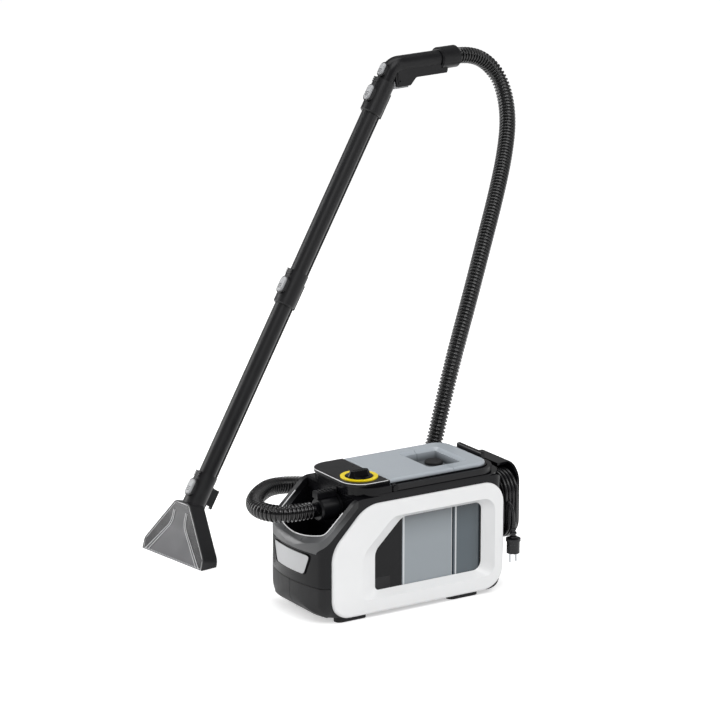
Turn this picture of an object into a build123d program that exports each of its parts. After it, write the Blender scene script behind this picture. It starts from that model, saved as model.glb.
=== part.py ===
from build123d import *
import math
import os

# Spray extraction carpet cleaner: machine, hose, wand and floor nozzle, in millimetres.
# The machine's front is -X, its window side is -Y, and the floor is z = 0.

# Row frame: where the machine's middle lies from the middle of the whole footprint
MACHINE_X = -100.0
MACHINE_Y = -219.0

# Machine body
BODY_FRONT = -238.0
BODY_REAR = 188.0
BODY_BOTTOM = 10.0
BODY_TOP = 238.0
BODY_HALF = 98.0
BODY_WALL = 3.5
FRONT_BOW = 19.0
FRONT_CORNER_R = 24.0
REAR_CORNER_R = 25.0
NOSE_R = 40.0
TAIL_R = 40.0
REAR_TOP_R = 25.0
SEAM_Z = 73.0
GROOVE = 1.2
GROOVE_DEPTH = 1.5

# Hose well at the front, and the tower behind it
WELL_RIM_Z = 152.0
WELL_RIM_R = 26.0
SHOULDER_X = -147.0
SHOULDER_R = 30.0
WELL_WALL = 12.0
WELL_FLOOR_Z = 110.0
WELL_SLOPE = 22.0
TRIM_WIDTH = 12.0
TOWER_FRONT = -145.0
TOWER_INSET = 18.0
TOWER_HALF = BODY_HALF - TOWER_INSET
TOWER_CORNER_R = 36.0
TOWER_TOP = 255.0
BULKHEAD_X = -66.0

# Side panels with their slanted window reveals
PANEL_PROUD = 3.0
PANEL_Y = BODY_HALF + PANEL_PROUD
PANEL_WALL = 3.0
PANEL_EDGE_R = 5.0
PANEL_SEAT_DEPTH = 6.0
PANEL_SEAT = BODY_HALF - PANEL_SEAT_DEPTH
PANEL_FRONT = -204.0
PANEL_REAR = 184.0
PANEL_BOTTOM = BODY_BOTTOM
PANEL_TOP = 226.0
PANEL_SLANT_X = -128.0
PANEL_SLANT_Z = 147.0
PANEL_RADII = [40.0, 62.0, 70.0, 45.0, 45.0]
REVEAL_FRONT = -136.0
REVEAL_REAR = 163.0
REVEAL_BOTTOM = 38.0
REVEAL_TOP = 195.0
REVEAL_SLANT_X = -68.0
REVEAL_SLANT_Z = 130.0
REVEAL_RADII = [12.0, 34.0, 34.0, 28.0, 20.0]
WINDOW_LIP = 0.5
WINDOW_FRONT = -100.0
WINDOW_REAR = 141.0
WINDOW_BOTTOM = 49.0
WINDOW_TOP = 185.0
WINDOW_SLANT_X = -39.0
WINDOW_SLANT_Z = 127.0
WINDOW_RADII = [8.0, 28.0, 28.0, 14.0, 18.0]
PANEL_GAP = 0.4

# Badge plate on the front, left bare
BADGE_TOP = 135.0
BADGE_BOTTOM = 94.0
BADGE_TOP_HALF = 63.0
BADGE_BOTTOM_HALF = 47.0
BADGE_PROUD = 1.5
BADGE_SEAT = 0.2

# Tank bay and tanks
BAY_FLOOR_Z = 27.0
BAY_FRONT = -54.0
BAY_REAR = 165.0
BAY_SIDE = 12.5
BAY_HALF = BODY_HALF - BAY_SIDE
BAY_CORNER_R = 33.0
TANK_GAP = 2.0
TANK_WALL = 2.5
TANK_FRONT_R = 17.0
TANK_SEAT = 0.3
TANK_TOP = 238.0
PARTING_X = 78.5
SEAL_T = 1.5
LID_TOP = 262.0
LID_INSET = 1.5
LID_HALF = BAY_HALF - LID_INSET
LID_EDGE_R = 5.0
LID_WALL = 2.5
LID_GAP = 0.4

# Grip recess shared by the two lids
RECESS_FRONT = 40.0
RECESS_REAR = 131.0
RECESS_HALF = 56.0
RECESS_BEVEL = 6.0
RECESS_BEVEL_DROP = 5.0
RECESS_LEDGE = 4.0
RECESS_SLOPE = 2.0
RECESS_FLOOR_Z = 242.0

# Fill cap of the clean tank
CAP_X = 99.5
CAP_Y = 18.0
CAP_R = 18.0
CAP_T = 6.0
CAP_EDGE = 2.0
CAP_PLUG_R = 14.0
CAP_PLUG_T = 8.0
CAP_CLEARANCE = 0.3

# Float that shuts the suction off when the dirty tank is full
FLOAT_X = 8.0
FLOAT_Y = 0.0
FLOAT_R = 18.0
FLOAT_HEIGHT = 30.0
FLOAT_ROD_R = 3.0
FLOAT_STOP_R = 7.0
FLOAT_STOP_T = 4.0
FLOAT_REST_Z = 160.0
FLOAT_CLEARANCE = 0.3

# Top rim and carry handle
RIM_LIP_T = 3.5
RIM_LIP_HALF = BODY_HALF
RIM_LIP_FRONT = -138.0
RIM_LIP_REAR = 190.0
RIM_LIP_R = 46.0
RIM_WEB_T = 2.5
RIM_WEB_TOP = 256.0
RIM_COLLAR_FRONT = -140.0
RIM_COLLAR_R = 45.0
RIM_COLLAR_TOP = 255.0
BAIL_GAP = 1.3
BAIL_T = 8.0
BAIL_LOW = 243.0
BAIL_HIGH = 254.0
BAIL_PIVOT_X = -62.0
BAIL_PIVOT_R = 4.0
BAIL_BOSS_R = 7.0
BAIL_CLEARANCE = 0.05
BAIL_GRIP_HALF = 42.0
BAIL_GRIP_TOP = 268.0
PIVOT_HEAD_R = 6.0
PIVOT_HEAD_T = 1.5

# Control plate, knob and its ring
PLATE_FRONT = -149.0
PLATE_CORNER_R = 40.0
PLATE_EDGE_R = 2.0
KNOB_X = -104.5
KNOB_Y = -35.5
KNOB_R = 26.0
KNOB_CROWN = 1.5
KNOB_CROWN_EDGE = 6.0
KNOB_BAR_LENGTH = 50.0
KNOB_BAR_WIDTH = 24.0
KNOB_BAR_TAPER = 24.0
KNOB_BAR_TOP = 275.0
KNOB_LIFT = 0.3
KNOB_SHAFT_R = 5.0
KNOB_SHAFT_LENGTH = 20.0
SHAFT_CLEARANCE = 0.05
RING_R = 36.0
RING_WIDTH = 8.5
RING_T = 2.0
RING_GAP_DEG = 55.0
RING_GAP_AT_DEG = 60.0
SWITCH_LENGTH = 34.0
SWITCH_WIDTH = 28.0
SWITCH_HEIGHT = 22.0

# Motor, fan and pump in the front room
MOTOR_X = -138.0
MOTOR_Y = 20.0
MOTOR_R = 44.0
MOTOR_HEIGHT = 50.0
MOUNT_R = 35.0
MOUNT_T = 6.5
FAN_CASE_R = 56.0
FAN_CASE_HEIGHT = 26.0
FAN_CASE_WALL = 2.5
FAN_INLET_R = 20.0
FAN_R = 47.0
FAN_BLADES = 9
FAN_BLADE_T = 2.0
FAN_BLADE_HEIGHT = 13.0
FAN_DISC_T = 2.0
FAN_HUB_R = 9.0
FAN_GAP = 2.0
FAN_SHAFT_R = 4.0
FAN_SHAFT_LENGTH = 24.0
PUMP_X = -140.0
PUMP_OFF = 13.0
PUMP_Y = -BODY_HALF / 2 - PUMP_OFF
PUMP_R = 17.0
PUMP_LENGTH = 70.0
PUMP_BASE_T = 6.0

# Feet
FOOT_LENGTH = 68.0
FOOT_WIDTH = 22.0
FOOT_INSET = 20.0
FOOT_Y = BODY_HALF - FOOT_INSET
FOOT_FRONT_X = -152.0
FOOT_REAR_X = 101.0

# Cord winder, winding and plug
CORD_D = 7.0
CORD_SIDES = 6
CORD_PITCH = 7.8
CORD_LAYER_STEP = 8.0
CORD_LOOPS = 4
CORD_FIRST_X = 195.5
WINDER_HALF = 74.0
WINDER_LOW = 108.0
WINDER_HIGH = 214.0
WINDER_CORE_R = 28.0
WINDER_WALL = 3.0
WINDER_FLANGE_X = 229.5
WINDER_FLANGE_T = 5.0
WINDER_FLANGE_HALF = 78.0
WINDER_FLANGE_LOW = 98.0
WINDER_FLANGE_R = 34.0
HOOK_TOP = 241.0
HOOK_FRONT = 206.0
HOOK_HALF = 44.0
CORD_SEAT = 0.5
GLAND_X = 193.0
GLAND_LOW = 140.0
GLAND_LENGTH = 24.0
GLAND_R = 4.6
GLAND_TIP_R = 4.1
GLAND_BRACKET_T = 12.0
GLAND_LEAD = 11.0
PLUG_X = 205.0
PLUG_Y = -102.0
PLUG_TOP = 138.0
PLUG_SLEEVE_LENGTH = 33.0
PLUG_SLEEVE_R = 7.5
PLUG_SLEEVE_RIBS = 4
PLUG_BODY_LENGTH = 29.0
PLUG_BODY_R = 12.8
PLUG_R = 14.5
PLUG_FLANGE_T = 5.0
PIN_R = 2.4
PIN_LENGTH = 19.0
PIN_EDGE = 1.2
PIN_SPACING = 14.0

# Suction hose and its fittings on the machine
HOSE_R = 17.0
HOSE_ROOT_R = 14.6
HOSE_BORE_R = 12.8
HOSE_RIBS = 60
HOSE_STRETCH = 6
HOSE_LEAD = 40.8
HOSE_Y = -19.0
HOSE_Z = 206.0
SOCKET_R = 26.0
SOCKET_T = 5.0
SOCKET_SPIGOT_R = 19.0
SOCKET_SPIGOT_LENGTH = 14.0
SOCKET_CLEARANCE = 0.2
CUFF_R = 23.0
CUFF_LENGTH = 38.0
CUFF_EDGE = 3.0
COUPLING_LENGTH = 42.0
COUPLING_WIDTH = 18.0
COUPLING_HEIGHT = 14.0
COUPLING_GROOVES = 5

# Wand: where its nozzle's lip lies on the floor, its turn and its lean
LIP_X = -263.0
LIP_Y = 413.0
WAND_YAW = 8.0
WAND_TILT = 32.13
AXIS_FOOT = -8.5
TUBE_R = 17.5
TUBE_BORE_R = 14.5
COLLAR_R = 22.5
SOCKET_DEPTH = 46.0
SOCKET_FIT = 0.3
SOCKET_END_GAP = 0.5
COLLAR_LENGTH = 72.0
COLLAR_EDGE = 2.5
NOZZLE_COLLAR_S = 115.0
LOWER_COLLAR_S = 560.0
UPPER_COLLAR_S = 988.0
SPRAY_LINE_R = 4.5
SPRAY_LINE_GAP = 0.2
COLLAR_RIB_WIDTH = 12.0
COLLAR_RIB_LENGTH = 54.0
BUTTON_LENGTH = 32.0
BUTTON_WIDTH = 17.0
BUTTON_PROUD = 4.0
BUTTON_TRAVEL = 3.0
BUTTON_EDGE = 2.0
BUTTON_GAP = 0.4
BUTTON_BOSS_WALL = 3.0
BUTTON_BOSS_OUT = 26.0
BUTTON_FLOOR = 19.0
TAB_LENGTH = 11.0
TAB_WIDTH = 14.0
TAB_PROUD = 3.0
TAB_GROOVES = 2
TAB_GROOVE = 2.0

# Handle at the top of the wand
GRIP_LENGTH = 121.0
ELBOW_R = 30.0
ELBOW_RISE = 20.5
HANDLE_CUFF_LENGTH = 50.0
SLIDER_RISE = 19.0
SLIDER_LENGTH = 26.0
SLIDER_WIDTH = 15.0
SLIDER_BOSS_OUT = 19.5
SLIDER_FLOOR = 14.0
HOUSING_HALF = 14.0
HOUSING_WALL = 2.5
HOUSING_SETBACK = -1.0
HOUSING_LENGTH = 143.0
HOUSING_DEPTH = 44.0
HOUSING_DEEP_LENGTH = 40.0
HOUSING_STEP = 15.0
HOUSING_SLANT = 4.0
HOUSING_SEAT = 0.15
CHEEK_INSET = 5.0
CHEEK_PROUD = 1.0
TRIGGER_HALF = 9.0
TRIGGER_GAP = 0.6
TRIGGER_SWING = 2.4
TRIGGER_T = 6.0
TRIGGER_PROUD = 4.0
TRIGGER_TAB = 15.0
TRIGGER_PIVOT_IN = 10.0
TRIGGER_PIVOT_UP = 12.0
TRIGGER_PIN_R = 2.0
TRIGGER_EYE_R = 4.5
TRIGGER_CLEARANCE = 0.05
VALVE_R = 5.0
VALVE_LENGTH = 18.0
VALVE_IN = 28.0

# Floor nozzle
FACE_TILT = 14.5
NOZZLE_HALF = 97.0
NOZZLE_SHOULDER = 22.0
NOZZLE_TOP = 118.0
NOZZLE_TOP_HALF = 22.0
NOZZLE_DEPTH = 36.0
NOZZLE_WALL = 2.5
NOZZLE_CORNER_R = 24.0
NOZZLE_ARCH_R = 16.0
COVER_T = 2.5
COVER_INSET = 3.0
NECK_LOW = 84.0
FLARE_LOW = 78.0
FLARE_R = 44.0
RIDGE_WIDTH = 1.6
RIDGE_HEIGHT = 1.2
RIDGE_SPACING = 9.0
RIDGE_TOP = 98.0
RIDGE_BEND = 72.0
RIDGE_TOP_HALF = 22.0
RIDGE_EDGE = 8.0
RIDGE_R = 40.0
NECK_BORE_R = 13.0
CLIP_LOW = 132.0
CLIP_HIGH = 168.0
CLIP_OUT = 46.0
CLIP_T = 4.0
JET_LOW = 62.0
JET_HIGH = 82.0
JET_HALF = 8.0
JET_LENGTH = 22.0

# Route of the hose from the machine to the handle, chosen by hand
HOSE_ROUTE = [
    (-250, -19, 206),
    (-289, 27, 206),
    (-286, 88, 208),
    (-247, 134, 209),
    (-181, 155, 208),
    (-95, 160, 194),
    (-5, 161, 162),
    (80, 162, 140),
    (150, 166, 152),
    (200, 178, 202),
    (232, 195, 280),
    (280, 222, 380),
    (345, 265, 480),
    (412, 315, 575),
    (480, 370, 660),
    (540, 425, 735),
    (580, 472, 800),
    (588, 507, 862),
    (565, 524, 905),
]

# A direction that the hose never runs along
HOSE_LEVEL = Vector(0, 1, -1)

# Tail of the power cord, from the winding's last turn to its plug
CORD_TAIL = [(201, -93, 178), (PLUG_X, PLUG_Y, 156)]

FAR = 400.0


def rounded(points, radii):
    """A flat face whose corners are rounded, one radius for each."""
    return make_face(FilletPolyline(*points, radius=radii, close=True))


def rectangle(low, high, radii):
    """A rounded rectangle between two corners, from the low corner round by +Y."""
    corners = [(low[0], low[1]), (low[0], high[1]), (high[0], high[1]), (high[0], low[1])]
    return rounded(corners, radii)


def across(face, low, high):
    """A side outline (x, z) made solid between two y values."""
    return Pos(0, high, 0) * extrude(Plane.XZ * face, high - low)


def upright(face, low, high):
    """A plan outline (x, y) made solid between two heights."""
    return Pos(0, 0, low) * extrude(face, high - low)


def lengthwise(face, low, high):
    """An end outline (y, z) made solid between two x values."""
    return Pos(low, 0, 0) * extrude(Plane.YZ * face, high - low)


def block(low, high):
    """A box between its lowest and highest corners."""
    size = [b - a for a, b in zip(low, high)]
    middle = [(a + b) / 2 for a, b in zip(low, high)]
    return Pos(*middle) * Box(*size)


def rod(radius, low, high):
    """A round rod along local Z."""
    return Pos(0, 0, low) * Cylinder(radius, high - low, align=(Align.CENTER, Align.CENTER, Align.MIN))


def pipe(outer, inner, low, high):
    """A round pipe along local Z."""
    return rod(outer, low, high) - rod(inner, low, high)


def slanted(front, rear, bottom, top, slant_x, slant_z, radii):
    """Side outline with its upper front corner cut off on a slant."""
    corners = [(front, bottom), (front, slant_z), (slant_x, top), (rear, top), (rear, bottom)]
    return rounded(corners, radii)


# Machine shell


def body_side():
    radii = [NOSE_R, WELL_RIM_R, SHOULDER_R, REAR_TOP_R, TAIL_R]
    return slanted(BODY_FRONT, BODY_REAR, BODY_BOTTOM, BODY_TOP, SHOULDER_X, WELL_RIM_Z, radii)


def body_plan():
    corner_x = BODY_FRONT + FRONT_BOW
    nose = ThreePointArc((corner_x, -BODY_HALF), (BODY_FRONT, 0), (corner_x, BODY_HALF))
    rest = Polyline(
        (corner_x, BODY_HALF), (BODY_REAR, BODY_HALF), (BODY_REAR, -BODY_HALF), (corner_x, -BODY_HALF)
    )
    face = make_face(nose + rest)
    face = fillet(face.vertices().group_by(Axis.X)[0], FRONT_CORNER_R)
    return fillet(face.vertices().group_by(Axis.X)[-1], REAR_CORNER_R)


def envelope(inset=0.0):
    """The body's outer form, or the room inside its walls."""
    side, plan = body_side(), body_plan()
    if inset:
        side, plan = offset(side, -inset), offset(plan, -inset)
    return across(side, -FAR, FAR) & upright(plan, 0, FAR)


def well(grow=0.0):
    """The scoop in the front that the hose comes out of."""
    floor_z = WELL_FLOOR_Z - grow
    corners = [
        (BODY_FRONT, FAR),
        (BODY_FRONT, floor_z + WELL_SLOPE),
        (BODY_FRONT + WELL_WALL + WELL_SLOPE, floor_z),
        (TOWER_FRONT + grow, floor_z),
        (TOWER_FRONT + grow, FAR),
    ]
    profile = rounded(corners, [0, 0, 12, 8, 0])
    return across(profile, -FAR, FAR) & upright(offset(body_plan(), grow - WELL_WALL), 0, FAR)


def tower_plan(inset=0.0):
    low = (TOWER_FRONT + inset, -TOWER_HALF + inset)
    high = (BULKHEAD_X - inset, TOWER_HALF - inset)
    corner = TOWER_CORNER_R - inset
    return rectangle(low, high, [corner, corner, 0, 0])


def panel_outline():
    return slanted(
        PANEL_FRONT, PANEL_REAR, PANEL_BOTTOM, PANEL_TOP, PANEL_SLANT_X, PANEL_SLANT_Z, PANEL_RADII
    )


def window_y():
    """The window's inner edge reaches just into the bay."""
    return BAY_HALF - WINDOW_LIP


def panel_seat():
    """Pockets in both sides of the body that the panels sit in."""
    return both_sides(across(offset(panel_outline(), PANEL_GAP), -FAR, -PANEL_SEAT))


def window_cut(grow=0.0):
    """The tapered hole of a window on the -Y side, or its wall's outside."""
    outer = slanted(
        REVEAL_FRONT, REVEAL_REAR, REVEAL_BOTTOM, REVEAL_TOP, REVEAL_SLANT_X, REVEAL_SLANT_Z, REVEAL_RADII
    )
    inner = slanted(
        WINDOW_FRONT, WINDOW_REAR, WINDOW_BOTTOM, WINDOW_TOP, WINDOW_SLANT_X, WINDOW_SLANT_Z, WINDOW_RADII
    )
    if grow:
        outer, inner = offset(outer, grow), offset(inner, grow)
    sections = [Pos(0, -PANEL_Y, 0) * (Plane.XZ * outer), Pos(0, -window_y(), 0) * (Plane.XZ * inner)]
    return loft(sections, ruled=True)


def both_sides(shape):
    return shape + mirror(shape, about=Plane.XZ)


def front_room():
    """The room for motor and pump under the well and in the tower."""
    half = PANEL_SEAT - BODY_WALL
    room = envelope(BODY_WALL) & block((-FAR, -half, 0), (BULKHEAD_X - BODY_WALL, half, FAR))
    room -= well(BODY_WALL)
    chimney = upright(tower_plan(BODY_WALL), WELL_FLOOR_Z, TOWER_TOP)
    return room + chimney


def front_solid():
    """Front half of the body with its tower, well, room and panel seats, before the seam splits it."""
    solid = envelope() & block((-FAR, -FAR, 0), (BULKHEAD_X, FAR, FAR))
    solid += upright(tower_plan(), WELL_FLOOR_Z, TOWER_TOP)
    backing_y = window_y() - BODY_WALL
    backing = block(
        (WINDOW_FRONT - BODY_WALL, -PANEL_SEAT, WINDOW_BOTTOM - BODY_WALL),
        (BULKHEAD_X, -backing_y, WINDOW_TOP + BODY_WALL),
    )
    solid -= well()
    solid -= front_room() - both_sides(backing)
    solid -= both_sides(window_cut(PANEL_WALL + PANEL_GAP)) + panel_seat()
    socket_hole = Pos(TOWER_FRONT, HOSE_Y, HOSE_Z) * Rot(0, 90, 0)
    return solid - socket_hole * rod(SOCKET_SPIGOT_R + SOCKET_CLEARANCE, -1, SOCKET_SPIGOT_LENGTH)


def well_trim(solid):
    """Silver band along the rim of the well."""
    band = body_side() - offset(body_side(), -TRIM_WIDTH)
    reach = block((-FAR, -FAR, WELL_RIM_Z - TRIM_WIDTH), (TOWER_FRONT, FAR, BODY_TOP))
    return across(band, -FAR, FAR) & solid & reach


def seam_groove():
    """Shadow gaps round the front's seam and down the middle of the base."""
    skin = envelope() - envelope(GROOVE_DEPTH)
    seam = block((-FAR, -FAR, SEAM_Z), (BULKHEAD_X, FAR, SEAM_Z + GROOVE))
    middle = block((-FAR, -GROOVE / 2, 0), (TOWER_FRONT, GROOVE / 2, SEAM_Z))
    return skin & (seam + middle)


def base_region():
    front = block((-FAR, -FAR, 0), (BULKHEAD_X, FAR, SEAM_Z))
    return front + block((BULKHEAD_X, -FAR, 0), (FAR, FAR, BAY_FLOOR_Z))


def base_pan(solid, groove):
    """Lower tray: motor floor at the front, ribbed slab under the tanks."""
    pan = (solid - groove) & block((-FAR, -FAR, 0), (BULKHEAD_X, FAR, SEAM_Z))
    slab = envelope() & block((BULKHEAD_X, -FAR, 0), (FAR, FAR, BAY_FLOOR_Z))
    slab -= panel_seat()
    cells = 3
    length = (BAY_REAR - BAY_FRONT) / cells
    for cell in range(cells):
        low = BAY_FRONT + cell * length + BODY_WALL / 2
        high = low + length - BODY_WALL
        inner = FOOT_Y - FOOT_WIDTH / 2 - BODY_WALL
        slab -= block((low, -inner, 0), (high, inner, BAY_FLOOR_Z - BODY_WALL))
    return pan + slab


def tank_bay():
    """Box round the tanks: bulkhead, window walls and rear wall."""
    bay = envelope() & block((BULKHEAD_X, -FAR, BAY_FLOOR_Z), (FAR, FAR, FAR))
    bay -= upright(bay_plan(), 0, FAR)
    bay -= both_sides(window_cut(PANEL_WALL + PANEL_GAP)) + panel_seat()
    bay -= block(
        (BULKHEAD_X, -BAY_HALF + BODY_WALL, BAY_FLOOR_Z + BODY_WALL),
        (BAY_FRONT - BODY_WALL, BAY_HALF - BODY_WALL, BODY_TOP - BODY_WALL),
    )
    rear_low = BAY_REAR + BODY_WALL
    half = PANEL_SEAT - REAR_CORNER_R
    return bay - block((rear_low, -half, 0), (BODY_REAR - BODY_WALL, half, BODY_TOP - REAR_TOP_R))


def bay_plan(inset=0.0):
    low = (BAY_FRONT + inset, -BAY_HALF + inset)
    high = (BAY_REAR - inset, BAY_HALF - inset)
    front, rear = TANK_FRONT_R + TANK_GAP - inset, BAY_CORNER_R - inset
    return rectangle(low, high, [front, front, rear, rear])


def side_panel():
    """White panel on the -Y side: thin plate with a turned rim and a deep reveal."""
    plate = across(panel_outline(), -PANEL_Y, -PANEL_SEAT)
    plate = fillet(plate.faces().sort_by(Axis.Y)[0].edges(), PANEL_EDGE_R)
    hollow = across(offset(panel_outline(), -PANEL_WALL), -PANEL_Y + PANEL_WALL, -PANEL_SEAT)
    return plate - hollow + window_cut(PANEL_WALL) - window_cut()


def badge_plate():
    """Bare plate that follows the bowed front."""
    outline = rounded(
        [
            (-BADGE_BOTTOM_HALF, BADGE_BOTTOM),
            (-BADGE_TOP_HALF, BADGE_TOP),
            (BADGE_TOP_HALF, BADGE_TOP),
            (BADGE_BOTTOM_HALF, BADGE_BOTTOM),
        ],
        [14, 5, 5, 14],
    )
    skin = Pos(-BADGE_PROUD - BADGE_SEAT, 0, 0) * envelope() - Pos(-BADGE_SEAT, 0, 0) * envelope()
    return skin & lengthwise(outline, -FAR, TOWER_FRONT)


def feet():
    pad = SlotOverall(FOOT_LENGTH, FOOT_WIDTH)
    pads = [
        Pos(x, y, 0) * extrude(pad, BODY_BOTTOM)
        for x in (FOOT_FRONT_X, FOOT_REAR_X)
        for y in (-FOOT_Y, FOOT_Y)
    ]
    return Compound(children=pads)


# Top rim and carry handle


def web_plan(grow):
    half = BAY_HALF + RIM_WEB_T + grow
    low = (BULKHEAD_X, -half)
    high = (BAY_REAR + RIM_WEB_T + grow, half)
    corner = BAY_CORNER_R + RIM_WEB_T + grow
    return rectangle(low, high, [0, 0, corner, corner])


def top_rim():
    low = (RIM_LIP_FRONT, -RIM_LIP_HALF)
    high = (RIM_LIP_REAR, RIM_LIP_HALF)
    lip = upright(rectangle(low, high, [RIM_LIP_R] * 4), BODY_TOP, BODY_TOP + RIM_LIP_T)
    lip -= upright(tower_plan(-BODY_WALL / 2), 0, FAR)
    web = upright(web_plan(0), BODY_TOP, RIM_WEB_TOP)
    opening = upright(web_plan(-RIM_WEB_T), 0, FAR)
    return lip + web + rim_collar() - opening


def rim_collar():
    """Band round the tower's front corners, up to the ends of the carry handle."""
    half = bail_half()
    rear = BAIL_PIVOT_X - BAIL_BOSS_R - BAIL_GAP
    plan = rectangle((RIM_COLLAR_FRONT, -half), (rear, half), [RIM_COLLAR_R, RIM_COLLAR_R, 0, 0])
    return upright(plan, BODY_TOP, RIM_COLLAR_TOP) - upright(tower_plan(-BODY_WALL / 2), 0, FAR)


def bail_half():
    return BAY_HALF + RIM_WEB_T + BAIL_GAP + BAIL_T


def carry_handle():
    """Bail that lies round the tanks and swings up about two pins."""
    outer = upright(web_plan(BAIL_GAP + BAIL_T), BAIL_LOW, BAIL_HIGH)
    inner = upright(web_plan(BAIL_GAP), 0, FAR)
    bail = outer & block((BAIL_PIVOT_X, -FAR, 0), (FAR, FAR, FAR))
    middle_z = (BAIL_LOW + BAIL_HIGH) / 2
    outside = bail_half()
    at_pivot = Pos(BAIL_PIVOT_X, outside, middle_z) * Rot(90, 0, 0)
    bail += at_pivot * rod(BAIL_BOSS_R, 0, 2 * outside)
    grip_rear = BAY_REAR + RIM_WEB_T + BAIL_GAP + BAIL_T
    bail += block((BAY_REAR, -BAIL_GRIP_HALF, BAIL_HIGH), (grip_rear, BAIL_GRIP_HALF, BAIL_GRIP_TOP))
    bail -= inner
    bail = bail - block((-FAR, -outside + BAIL_T, 0), (BAY_FRONT, outside - BAIL_T, FAR))
    bail -= at_pivot * rod(BAIL_PIVOT_R + BAIL_CLEARANCE, 0, 2 * outside)
    grip_edges = bail.faces().sort_by(Axis.Z)[-1].edges()
    return fillet(grip_edges, BAIL_T * 0.4)


def handle_pivots():
    """Headed pins that carry the bail on the rim's web."""
    web = BAY_HALF + RIM_WEB_T
    length = BAIL_GAP + BAIL_T + BAIL_CLEARANCE * 4
    pin = rod(BAIL_PIVOT_R, 0, length) + rod(PIVOT_HEAD_R, length, length + PIVOT_HEAD_T)
    near = Pos(BAIL_PIVOT_X, -web, (BAIL_LOW + BAIL_HIGH) / 2) * Rot(90, 0, 0) * pin
    return Compound(children=[near, mirror(near, about=Plane.XZ)])


# Controls


def top_plate():
    low = (PLATE_FRONT, -LID_HALF)
    high = (BULKHEAD_X - LID_GAP, LID_HALF)
    plate = upright(rectangle(low, high, [PLATE_CORNER_R, PLATE_CORNER_R, 0, 0]), TOWER_TOP, LID_TOP)
    plate = fillet(plate.faces().sort_by(Axis.Z)[-1].edges(), PLATE_EDGE_R)
    return plate - Pos(KNOB_X, KNOB_Y, 0) * rod(KNOB_SHAFT_R + SHAFT_CLEARANCE, 0, FAR)


def knob_ring():
    """Band round the knob with a gap."""
    face = Circle(RING_R) - Circle(RING_R - RING_WIDTH)
    start = math.radians(RING_GAP_AT_DEG - RING_GAP_DEG / 2)
    end = math.radians(RING_GAP_AT_DEG + RING_GAP_DEG / 2)
    reach = 2 * RING_R
    wedge = make_face(
        Polyline(
            (0, 0),
            (reach * math.cos(start), reach * math.sin(start)),
            (reach * math.cos(end), reach * math.sin(end)),
            close=True,
        )
    )
    return Pos(KNOB_X, KNOB_Y, LID_TOP) * extrude(face - wedge, RING_T)


def selector_knob():
    """Low knob with a broad tapered grip bar and its shaft."""
    base = LID_TOP + KNOB_LIFT
    crown = base + RING_T + KNOB_CROWN
    knob = rod(KNOB_R, base, base + RING_T) + Pos(0, 0, base + RING_T) * Cone(
        KNOB_R, KNOB_R - KNOB_CROWN_EDGE, KNOB_CROWN, align=(Align.CENTER, Align.CENTER, Align.MIN)
    )
    outline = SlotOverall(KNOB_BAR_LENGTH, KNOB_BAR_WIDTH)
    knob += Pos(0, 0, base) * extrude(outline, KNOB_BAR_TOP - base, taper=KNOB_BAR_TAPER)
    knob += rod(KNOB_SHAFT_R, LID_TOP - KNOB_SHAFT_LENGTH, crown)
    return Pos(KNOB_X, KNOB_Y, 0) * knob


def switch_block():
    """Rotary switch hung under the control plate."""
    half_l, half_w = SWITCH_LENGTH / 2, SWITCH_WIDTH / 2
    box = block((-half_l, -half_w, TOWER_TOP - SWITCH_HEIGHT), (half_l, half_w, TOWER_TOP))
    bore = rod(KNOB_SHAFT_R + SHAFT_CLEARANCE, LID_TOP - KNOB_SHAFT_LENGTH - 1, FAR)
    return Pos(KNOB_X, KNOB_Y, 0) * (box - bore)


# Tanks


def dirty_plan(inset=0.0):
    low = (BAY_FRONT + TANK_GAP + inset, -BAY_HALF + TANK_GAP + inset)
    high = (PARTING_X - TANK_GAP / 2 - inset, BAY_HALF - TANK_GAP - inset)
    front, rear = TANK_FRONT_R - inset, TANK_WALL * 2 - inset
    return rectangle(low, high, [front, front, rear, rear])


def clean_plan(inset=0.0):
    low = (PARTING_X + TANK_GAP / 2 + inset, -BAY_HALF + TANK_GAP + inset)
    high = (BAY_REAR - TANK_GAP - inset, BAY_HALF - TANK_GAP - inset)
    front, rear = TANK_WALL * 2 - inset, BAY_CORNER_R - TANK_GAP - inset
    return rectangle(low, high, [front, front, rear, rear])


def tank(plan):
    """Open box with thin walls."""
    bottom = BAY_FLOOR_Z + TANK_SEAT
    outside = upright(plan(), bottom, TANK_TOP)
    return outside - upright(plan(TANK_WALL), bottom + TANK_WALL, TANK_TOP)


def tank_seal(plan):
    return upright(plan() - plan(TANK_WALL), TANK_TOP, TANK_TOP + SEAL_T)


def dirty_lid_plan(inset=0.0):
    low = (BULKHEAD_X + LID_GAP + inset, -LID_HALF + inset)
    high = (PARTING_X - LID_GAP - inset, LID_HALF - inset)
    return rectangle(low, high, [0, 0, 0, 0])


def clean_lid_plan(inset=0.0):
    low = (PARTING_X + LID_GAP + inset, -LID_HALF + inset)
    high = (BAY_REAR - TANK_GAP / 2 - inset, LID_HALF - inset)
    corner = BAY_CORNER_R - TANK_GAP / 2 - inset
    return rectangle(low, high, [0, 0, corner, corner])


def recess_plan(inset, corner):
    low = (RECESS_FRONT + inset, -RECESS_HALF + inset)
    return rectangle(low, (RECESS_REAR - inset, RECESS_HALF - inset), [corner] * 4)


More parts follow.
